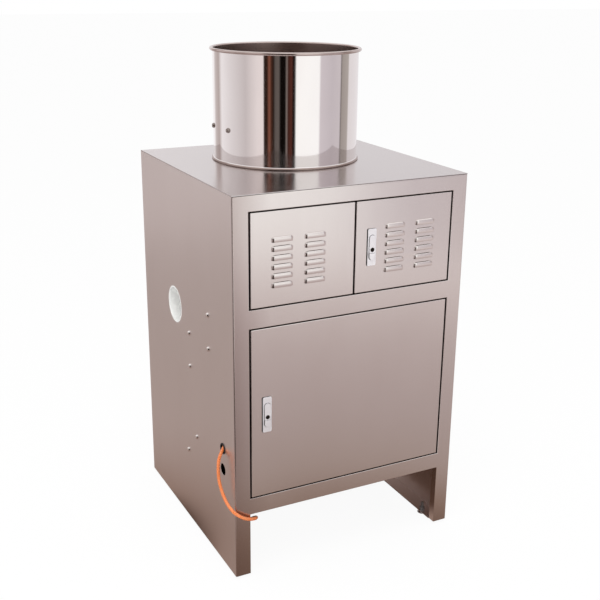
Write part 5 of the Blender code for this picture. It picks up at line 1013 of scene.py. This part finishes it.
def rounded_block(name, x_span, y_span, z_span, radius, segments):
    """A block with the four corners that one sees from the front rounded off."""
    thing = block(name, x_span, y_span, z_span)
    bpy.ops.object.mode_set(mode="EDIT")
    pick(thing, "EDGE", lambda e: abs(e.verts[0].co.y - e.verts[1].co.y) > NEAR)
    bpy.ops.mesh.bevel(offset=radius, segments=segments, affect="EDGES")
    bpy.ops.mesh.select_all(action="SELECT")
    bpy.ops.mesh.remove_doubles(threshold=MERGE_DISTANCE)
    bpy.ops.object.mode_set(mode="OBJECT")
    return thing


def oblong(name, which, y_span, margin=0.0):
    """The lever's and the button's shared outline, round at both ends."""
    x, top, _, _ = latch_places(which)
    half = LEVER_WIDTH / 2 + margin
    z_span = (top - LEVER_LENGTH - margin, top + margin)
    return rounded_block(name, about(x, half), y_span, z_span, half - NEAR, OBLONG_SEGMENTS)


def parting_peg(which, gap=0.0):
    """The round about the spindle where the lever ends and the button begins."""
    x, _, spindle_z, _ = latch_places(which)
    radius = LEVER_LENGTH - LEVER_WIDTH / 2 - BUTTON_LENGTH + gap
    base = (x, PARTING_START_Y, spindle_z)
    return peg("cutter", base, (0, 1, 0), radius, PARTING_DEPTH, PARTING_SIDES)


for which in ("upper", "lower"):
    x, top, _, stem_z = latch_places(which)
    x_span, z_span = about(x, LATCH_SIZE[0] / 2), about(LATCH_Z[which], LATCH_SIZE[1] / 2)
    plate = rounded_block(
        which + "_latch_base", x_span, PLATE_SPAN_Y, z_span, LATCH_CORNER, PLATE_SEGMENTS
    )
    carved(plate, oblong("cutter", which, POCKET_SPAN_Y, POCKET_MARGIN))
    bored_for_latch(plate, which)
    settled(ease_edges(plate, SMALL_EDGE), bright_plate, which + "_latch_plate")

    # Painted shade: the black rubber sheet reaches out further at the plate's left, as its shadow
    # line
    x_span = (x_span[0] - SHADE_GASKET_LEFT, x_span[1] + SHADE_GASKET_MARGIN)
    z_span = (z_span[0] - SHADE_GASKET_MARGIN, z_span[1] + SHADE_GASKET_MARGIN)
    shade_gasket = rounded_block(
        which + "_latch_gasket", x_span, SHADE_GASKET_SPAN_Y, z_span, LATCH_CORNER + SHADE_GASKET_MARGIN,
        PLATE_SEGMENTS,
    )
    bored_for_latch(shade_gasket, which)
    added(shade_gasket, rubber, which + "_latch_plate")

    key_z = top - KEY_DROP
    lever = oblong(which + "_lift_lever", which, LEVER_SPAN_Y)
    carved(lever, parting_peg(which), "INTERSECT")
    base = (x, LEVER_SPAN_Y[0] - CUT_MARGIN, key_z)
    drilled(lever, base, (0, 1, 0), KEY_RADIUS + SEAT_GAP, 3 * CUT_MARGIN, KEY_SIDES)
    settled(ease_edges(lever, SMALL_EDGE), bright_plate, which + "_latch_lever")

    button = oblong(which + "_push_button", which, BUTTON_SPAN_Y)
    carved(button, parting_peg(which, BUTTON_GAP))
    start = sum(BUTTON_SPAN_Y) / 2
    length = BUTTON_STEM_END - start
    stem = peg("stem", (x, start, stem_z), (0, 1, 0), STEM_RADIUS, length, HOLE_SIDES)
    carved(button, stem, "UNION")
    settled(ease_edges(button, SMALL_EDGE), bright_plate, which + "_latch_button")

    base, length = (x, KEY_FRONT_Y, key_z), LEVER_SPAN_Y[1] - KEY_FRONT_Y
    key = peg(which + "_key_barrel", base, (0, 1, 0), KEY_RADIUS, length, KEY_SIDES)
    across, tall, deep = KEY_SLOT
    slot_y = (KEY_FRONT_Y - CUT_MARGIN, KEY_FRONT_Y + deep)
    carved(key, block("cutter", about(x, across / 2), slot_y, about(key_z, tall / 2)))
    settled(ease_edges(key, SMALL_EDGE / 2), dark_key, which + "_key_plug")
    dressed(zinc, SMALL_EDGE, which + "_latch_tongue")

# Levelling feet: zinc-plated steel, a pad and a threaded stud turned in one piece. The stud goes
# up through the side panel's flange, and a hexagonal lock nut on it sets the height.
FOOT_X, FOOT_Y = 0.271, 0.234
PAD_HEIGHT = 0.0077
STUD_RADIUS = 0.004
STUD_TOP = 0.030
PAD_PROFILE = (
    (0, 0), (0.01104, 0), (0.012, 0.0008), (0.012, 0.0022), (0.01152, 0.0027), (0.0084, 0.0073),
    (0.00798, PAD_HEIGHT), (STUD_RADIUS, PAD_HEIGHT),
)
THREAD_PITCH = 0.00125
THREAD_DEPTH = 0.0006
# Where a turn of the thread leaves its crest and reaches its root, as shares of the pitch
THREAD_CREST, THREAD_ROOT = 0.4, 0.9
NUT_RADIUS = 0.0075
NUT_SPAN_Z = (0.0098, 0.0163)
NUT_SIDES = 6
FOOT_SIDES = 40


def levelling_foot():
    """The pad and stud turned in one run, with the hexagonal nut joined on."""
    profile, root = list(PAD_PROFILE), STUD_RADIUS - THREAD_DEPTH
    for turn in range(int((STUD_TOP - PAD_HEIGHT) / THREAD_PITCH)):
        low = PAD_HEIGHT + turn * THREAD_PITCH
        profile.append((STUD_RADIUS, low + THREAD_PITCH * THREAD_CREST))
        profile.append((root, low + THREAD_PITCH * THREAD_ROOT))
    profile += [(root, STUD_TOP), (0, STUD_TOP)]
    foot = turned("levelling_foot", (0, 0, 0), (0, 0, 1), profile, FOOT_SIDES)
    base, height = (0, 0, NUT_SPAN_Z[0]), NUT_SPAN_Z[1] - NUT_SPAN_Z[0]
    nut = peg("lock_nut", base, (0, 0, 1), NUT_RADIUS, height, NUT_SIDES)
    return joined(foot, ease_edges(nut, SMALL_EDGE))


pattern = levelling_foot()
for along, y in (("front", -FOOT_Y), ("rear", FOOT_Y)):
    for across, x in (("left", -FOOT_X), ("right", FOOT_X)):
        node = f"{along}_{across}_foot"
        settled(copied(pattern, node + "_pad", (x, y, 0)), zinc, node)
bpy.data.objects.remove(pattern)

# Hopper: a rolled sheet cylinder, polished to a mirror outside and duller inside, with a satin
# rolled bead at the rim and a turned-out foot that stands on the top panel. The inside and the
# foot ring also get darker colours as painted shade, and the bead a darker copy of the steel,
# painted shade that tones down its highlights.
HOPPER_Y = 0.061
HOPPER_BASE = Vector((0, HOPPER_Y, TOP_Z + SEAT_GAP))
HOPPER_RADIUS = 0.1785
HOPPER_WALL = 0.0012
HOPPER_HEIGHT = 0.2695
HOPPER_SIDES = 192
BEAD_RADIUS = 0.004
BEAD_CENTRE = 0.1816
BEAD_STEPS = 14
# The foot ring, as far outside the wall and above the top panel
FOOT_RING_PROFILE = (
    (0, 0.0066), (0.0004, 0.0055), (0.0016, 0.0047), (0.0037, 0.0034), (0.0045, 0.0024),
    (0.0045, 0.0004), (0.0041, 0),
)
FOOT_RING_HEIGHT = 0.005
SCREW_RISE = 0.083
SCREW_ANGLES = (math.radians(180 - 14.5), math.radians(180 + 14.5))
SCREW_HOLE = 0.0033
# Painted shade: darker colours for the hopper's inside and foot ring, and for its bead
INSIDE_SHADED_WARM = linear(158, 140, 134)
INSIDE_SHADED_PALE = linear(178, 161, 155)
BEAD_SHADED_PALE = linear(222, 208, 204)
BEAD_SHADED_DULL = linear(186, 170, 165)
MIRROR_PALE = linear(252, 248, 247)
MIRROR_DULL = linear(244, 239, 238)


def mirror_steel(name, roughness):
    """Polished stainless: a faint roll of the sheet, hairline swirls and a few dull smears."""
    steel = Recipe(name)
    roll = steel.noise((7, 7, 0.9), detail=1)
    swirl = steel.noise((160, 160, 30), detail=3)
    smear = steel.noise((16, 16, 6), detail=4, distortion=0.8)
    steel.shade(
        Base_Color=steel.blend(smear, MIRROR_PALE, MIRROR_DULL),
        Metallic=1.0,
        Roughness=smear * 0.03 + swirl * 0.025 + roughness,
        Normal=steel.bump(swirl, 0.000006, 0.5, steel.bump(roll, 0.0009, 0.22)),
    )
    return steel.owner


def screw_line(angle, reach):
    """The point so far from the hopper's middle on a screw's line, and the screw's direction."""
    outward = Vector((math.cos(angle), math.sin(angle), 0))
    return Vector((0, HOPPER_Y, TOP_Z + SCREW_RISE)) + outward * reach, outward


mirror = mirror_steel("mirror_polished_steel", 0.035)
bead_z = HOPPER_HEIGHT - BEAD_RADIUS
inner = HOPPER_RADIUS - HOPPER_WALL
sweep = math.pi + math.acos((HOPPER_RADIUS - BEAD_CENTRE) / BEAD_RADIUS)
hopper_profile = [(inner, 0), (inner, bead_z)]
for step in range(1, BEAD_STEPS + 1):
    angle = math.pi - sweep * step / BEAD_STEPS
    radius = BEAD_CENTRE + BEAD_RADIUS * math.cos(angle)
    hopper_profile.append((radius, bead_z + BEAD_RADIUS * math.sin(angle)))
hopper_profile += [(HOPPER_RADIUS + out, rise) for out, rise in FOOT_RING_PROFILE]
hopper_profile.append((inner, 0))
hopper = turned("polished_hopper", HOPPER_BASE, (0, 0, 1), hopper_profile, HOPPER_SIDES)
for angle in SCREW_ANGLES:
    drilled(hopper, *screw_line(angle, inner - CUT_MARGIN), SCREW_HOLE, 3 * CUT_MARGIN)
weigh_normals(smooth(hopper), keep_sharp=True)
settled(hopper, mirror, "hopper_shell")
hopper.data.materials.append(brushed_steel(
    "dull_hopper_inside_and_foot_shaded", (90, 90, 620), 0.22, warm=INSIDE_SHADED_WARM, pale=INSIDE_SHADED_PALE))
hopper.data.materials.append(soft_metal("satin_bead_steel_shaded", BEAD_SHADED_PALE, BEAD_SHADED_DULL, 0.10))
# Painted shade: inside faces and the foot ring take the darker inside colours, the bead its darker
# steel
for face in hopper.data.polygons:
    place = face.center - HOPPER_BASE
    is_inside = abs(face.normal.z) < 0.5 and face.normal.dot(place.xy.to_3d()) < 0
    if is_inside or place.z < FOOT_RING_HEIGHT:
        face.material_index = 1
    elif place.z > bead_z - BEAD_RADIUS:
        face.material_index = 2
dressed(upright_grain, SMALL_EDGE, "hopper_baffle")

# Dome-headed bolts: two through the hopper's wall for its guard, and six of bare steel through the
# left panel for the valve bracket and the chute bracket. The two on the hopper get a darker copy
# of the bolt steel, as painted shade. The heads are polished, so each shows a light and a dark
# side.
DOME_RADIUS = 0.0064
DOME_PROFILE = (
    (1.0, 0), (1.0, 0.05), (0.78, 0.54), (0.73, 0.62), (0.64, 0.68), (0.48, 0.73), (0.25, 0.76),
    (0, 0.77),
)
PANEL_BOLTS_YZ = (
    (-0.150, 0.622), (-0.150, 0.538), (-0.024, 0.535), (-0.024, 0.448), (-0.0605, 0.270),
    (0.0012, 0.207),
)
BOLT_PALE = linear(246, 240, 237)
BOLT_DULL = linear(226, 218, 214)
SHADED_BOLT_PALE = linear(176, 164, 158)
SHADED_BOLT_DULL = linear(130, 120, 115)
BOLT_SIDES = 32
panel_bolt = soft_metal("bare_bolt_steel", BOLT_PALE, BOLT_DULL, 0.04, 700, 0.00001)
# Painted shade: the hopper's bolt heads take a darker copy of the bolt steel
shaded_hopper_bolt = soft_metal("shaded_bolt_steel", SHADED_BOLT_PALE, SHADED_BOLT_DULL, 0.06, 700, 0.00001)
dome_profile = [(radius * DOME_RADIUS, rise * DOME_RADIUS) for radius, rise in DOME_PROFILE]
dome_profile = [(0, -NEAR), (DOME_RADIUS, -NEAR), *dome_profile]
seats = [((-HALF_WIDTH, y, z), (-1, 0, 0), panel_bolt) for y, z in PANEL_BOLTS_YZ]
seats += [(*screw_line(angle, HOPPER_RADIUS), shaded_hopper_bolt) for angle in SCREW_ANGLES]
heads = []
for place, outward, finish in seats:
    heads.append(turned("dome_bolt_head", place, outward, dome_profile, BOLT_SIDES))
    heads[-1].data.materials.append(finish)
bolts = joined(*heads)
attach(bolts, frame["nodes"]["hopper_shell"]["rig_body"])

# Feed disc and stirrer: a white plastic disc whose pockets carry the cloves round to the feed
# hole, under a polished hub with three arms, both on the drive shaft.
DISC_RADIUS = 0.1743
DISC_LOW_Z = TOP_Z + 0.0015
DISC_THICKNESS = 0.012
DISC_BORE = 0.0063
POCKET_CIRCLE = 0.115
POCKET_RADIUS = 0.025
POCKET_COUNT = 8
POCKET_SIDES = 48
DISC_SIDES = 128
DISC_RIM = 0.0008
DISC_EDGE = 0.0006
SHARP_EDGE = 0.0002
WHITE = linear(246, 246, 243)
white_plastic = moulded("white_moulded_plastic", WHITE, 0.40)
disc_profile = [
    (DISC_BORE, 0), (DISC_RADIUS - DISC_RIM, 0), (DISC_RADIUS, DISC_RIM),
    (DISC_RADIUS, DISC_THICKNESS - DISC_RIM), (DISC_RADIUS - DISC_RIM, DISC_THICKNESS),
    (DISC_BORE, DISC_THICKNESS), (DISC_BORE, 0),
]
base = (0, HOPPER_Y, DISC_LOW_Z)
disc = turned("white_feed_disc", base, (0, 0, 1), disc_profile, DISC_SIDES)
depth = DISC_THICKNESS + 2 * CUT_MARGIN
pockets = []
for i in range(POCKET_COUNT):
    angle = math.tau * (i + 1 / 2) / POCKET_COUNT
    x, y = POCKET_CIRCLE * math.cos(angle), HOPPER_Y + POCKET_CIRCLE * math.sin(angle)
    base = (x, y, DISC_LOW_Z - CUT_MARGIN)
    pockets.append(peg("cutter", base, (0, 0, 1), POCKET_RADIUS, depth, POCKET_SIDES))
carved(disc, joined(*pockets))
settled(ease_edges(disc, DISC_EDGE), white_plastic, "feed_disc")
dressed(mirror, SMALL_EDGE, "stirrer")
dressed(mirror, SHARP_EDGE, "drive_shaft")

# Exhaust pipe: a white plastic tube, cut to the round of the peel chamber at one end, with its
# mouth flush with the left panel. It carries the skins out.
PIPE_RADIUS = 0.047
PIPE_WALL = 0.003
PIPE_PLACE = (0.073, 0.580)
PIPE_SIDES = 96
PIPE_RIM = 0.0005
CHAMBER_PLACE = (-0.150, 0.073)
CHAMBER_RADIUS = 0.070
low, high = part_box("exhaust_pipe")
reach, inner = high.x - low.x, PIPE_RADIUS - PIPE_WALL
pipe_profile = [
    (inner, PIPE_RIM), (inner, reach), (PIPE_RADIUS, reach), (PIPE_RADIUS, PIPE_RIM),
    (PIPE_RADIUS - PIPE_RIM, 0), (inner + PIPE_RIM, 0), (inner, PIPE_RIM),
]
pipe = turned("white_exhaust_pipe", (low.x, *PIPE_PLACE), (1, 0, 0), pipe_profile, PIPE_SIDES)
base = (*CHAMBER_PLACE, PIPE_PLACE[1] - 2 * PIPE_RADIUS)
drilled(pipe, base, (0, 0, 1), CHAMBER_RADIUS + SEAT_GAP, 4 * PIPE_RADIUS, PIPE_SIDES)
settled(weigh_normals(smooth(pipe)), white_plastic, "exhaust_pipe")

# Drive: a cast aluminium gearbox hung under the top panel, which turns the drive shaft, and its
# motor in hammered blue paint.
ALUMINIUM_PALE = linear(206, 208, 212)
ALUMINIUM_DULL = linear(170, 172, 176)
MOTOR_BLUE = linear(58, 84, 118)
CAST_EDGE = 0.0008
aluminium = soft_metal("satin_aluminium", ALUMINIUM_PALE, ALUMINIUM_DULL, 0.30)
dressed(aluminium, CAST_EDGE, "gearbox")
dressed(moulded("hammered_blue_paint", MOTOR_BLUE, 0.34, 0.3), CAST_EDGE, "feed_motor")

# Peeling line: the feed tube, the clear way down through the chamber with its two air nozzles,
# the gate with its air cylinder, and the chute on its bracket.
MACHINED_EDGE = 0.0005
dressed(
    upright_grain, CUT_EDGE,
    "feed_tube", "chamber_lid", "peel_chamber", "outlet_chute", "chute_bracket", "valve_bracket",
)
dressed(brass, SMALL_EDGE, "left_air_nozzle", "right_air_nozzle")
dressed(aluminium, MACHINED_EDGE, "gate_frame", "gate_cylinder")
dressed(mirror, SHARP_EDGE, "gate_slide")

# Compressed air: the grey plastic filter regulator with its ribbed knob, its gauge with a white
# dial in a blackened case, the valves on their aluminium block, and the thin tubes to the nozzles.
GAUGE_RIM = 0.002
DIAL_SWEEP = math.radians(135)
DIAL_MARKS = 11
MARK_DEPTH = 0.0003
KNOB_RIBS = 20
KNOB_RIB_CUT = 0.0014
RIB_SIDES = 12
GAUGE_SCALE = (0.72, 0.92)
GAUGE_MARK_WIDTH = 0.0006
NEEDLE_WIDTH = 0.0009
REGULATOR_SIDES = 80
PRINT_WHITE = linear(240, 240, 236)
PRINT_BLACK = linear(34, 34, 34)
NEEDLE_RED = linear(196, 48, 36)
CASE_GREY = linear(118, 122, 126)
white_print = moulded("white_print", PRINT_WHITE, 0.5)
black_print = moulded("black_print", PRINT_BLACK, 0.5)
red_needle = moulded("red_needle", NEEDLE_RED, 0.4)
grey_plastic = moulded("grey_moulded_plastic", CASE_GREY, 0.44)


def mark(name, centre, angle, inner, outer, width):
    """A thin mark on a dial that faces the front, at an angle clockwise from straight up."""
    made = block(name, about(0, width / 2), (-MARK_DEPTH, 0), (inner, outer))
    made.data.transform(Matrix.Translation(centre) @ Matrix.Rotation(angle, 4, "Y"))
    return made


def scale_marks(name, centre, inner, outer, width):
    """Evenly spaced marks round a dial, open at the bottom."""
    steps = [2 * DIAL_SWEEP * i / (DIAL_MARKS - 1) - DIAL_SWEEP for i in range(DIAL_MARKS)]
    return joined(*[mark(name, centre, angle, inner, outer, width) for angle in steps])


def front_centre(node):
    """The middle of a node's front face, and its radius across."""
    low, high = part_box(node)
    return Vector(((low.x + high.x) / 2, low.y, (low.z + high.z) / 2)), (high.x - low.x) / 2


dressed(aluminium, MACHINED_EDGE, "valve_block")
dressed(grey_plastic, CAST_EDGE, "air_regulator")

face, radius = front_centre("pressure_gauge")
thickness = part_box("pressure_gauge")[1].y - face.y
eye = radius - GAUGE_RIM
case_profile = [
    (0, 0), (radius * 0.94, 0), (radius, thickness * 0.08), (radius, thickness - GAUGE_RIM * 0.4),
    (radius - GAUGE_RIM * 0.4, thickness), (eye, thickness), (eye, thickness - GAUGE_RIM),
    (0, thickness - GAUGE_RIM),
]
back = face + Vector((0, thickness, 0))
settled(turned("gauge_case", back, (0, -1, 0), case_profile), dark_key, "pressure_gauge")
seat = face + Vector((0, GAUGE_RIM, 0))
dial = peg("gauge_dial", seat, (0, -1, 0), eye - SEAT_GAP, MARK_DEPTH)
added(dial, white_print, "pressure_gauge")
seat.y -= MARK_DEPTH
inner, outer = (eye * share for share in GAUGE_SCALE)
marks = scale_marks("gauge_marks", seat, inner, outer, GAUGE_MARK_WIDTH)
added(marks, black_print, "pressure_gauge")
seat.y -= MARK_DEPTH
hub = peg("gauge_hub", seat, (0, -1, 0), eye * 0.12, 2 * MARK_DEPTH, HOLE_SIDES)
needle = mark("gauge_needle", seat, -DIAL_SWEEP / 4, -eye * 0.25, eye * 0.8, NEEDLE_WIDTH)
added(joined(needle, hub), red_needle, "pressure_gauge")

low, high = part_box("regulator_knob")
radius, height = (high.x - low.x) / 2, high.z - low.z
knob_profile = [
    (0, 0), (radius, 0), (radius, height * 0.86), (radius * 0.96, height * 0.95),
    (radius * 0.84, height), (radius * 0.5, height), (radius * 0.46, height * 0.96),
    (0, height * 0.96),
]
middle = Vector(((low.x + high.x) / 2, (low.y + high.y) / 2, low.z))
knob = turned("ribbed_regulator_knob", middle, (0, 0, 1), knob_profile, REGULATOR_SIDES)
grooves = []
for i in range(KNOB_RIBS):
    angle = math.tau * i / KNOB_RIBS
    rim = middle + Vector((math.cos(angle), math.sin(angle), 0)) * radius
    rim.z += height * 0.18
    grooves.append(peg("cutter", rim, (0, 0, 1), KNOB_RIB_CUT, height, RIB_SIDES))
carved(knob, joined(*grooves))
settled(ease_edges(knob, SHARP_EDGE), black_plastic, "regulator_knob")
dressed(orange_plastic, None, "supply_tube", "left_nozzle_tube", "right_nozzle_tube")

# Controls on the shelf: a painted sheet box with the two timer knobs, each with a printed scale
# round it and a white pointer on its finger bar, and the rocker switch.
KNOB_PROFILE = (
    (0, -0.9), (0.21, -0.9), (0.21, 0), (0.97, 0), (1.0, 0.04), (1.0, 0.12), (0.93, 0.20),
    (0.90, 1.06), (0.84, 1.14), (0, 1.14),
)
KNOB_RADIUS = 0.014
BAR_HALF_WIDTH = 0.0022
KNOB_SIDES = 48
KNOB_SCALE = (1.2, 1.45)
KNOB_MARK_WIDTH = 0.0008
POINTER_WIDTH = 0.0012
BOX_EDGE = 0.0012
dressed(grey_plastic, BOX_EDGE, "control_box")
panel_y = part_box("control_box")[0].y
knob_profile = [(radius * KNOB_RADIUS, rise * KNOB_RADIUS) for radius, rise in KNOB_PROFILE]
for node in ("feed_timer_knob", "peel_timer_knob"):
    front, _ = front_centre(node)
    seat = Vector((front.x, panel_y - SEAT_GAP, front.z))
    knob = turned(node + "_body", seat, (0, -1, 0), knob_profile, KNOB_SIDES)
    reach = KNOB_RADIUS * 0.75
    bar_y = (front.y, front.y + KNOB_RADIUS * 0.5)
    bar = block("bar", about(front.x, BAR_HALF_WIDTH), bar_y, about(front.z, reach))
    carved(knob, bar, "UNION")
    settled(ease_edges(knob, MACHINED_EDGE), black_plastic, node)
    pointer = mark(node + "_pointer", front, 0, reach * 0.2, reach * 0.92, POINTER_WIDTH)
    added(pointer, white_print, node)
    centre = Vector((front.x, panel_y, front.z))
    inner, outer = (KNOB_RADIUS * share for share in KNOB_SCALE)
    marks = scale_marks(node + "_scale", centre, inner, outer, KNOB_MARK_WIDTH)
    added(marks, white_print, "control_box")
dressed(black_plastic, MOULDED_EDGE, "power_switch")
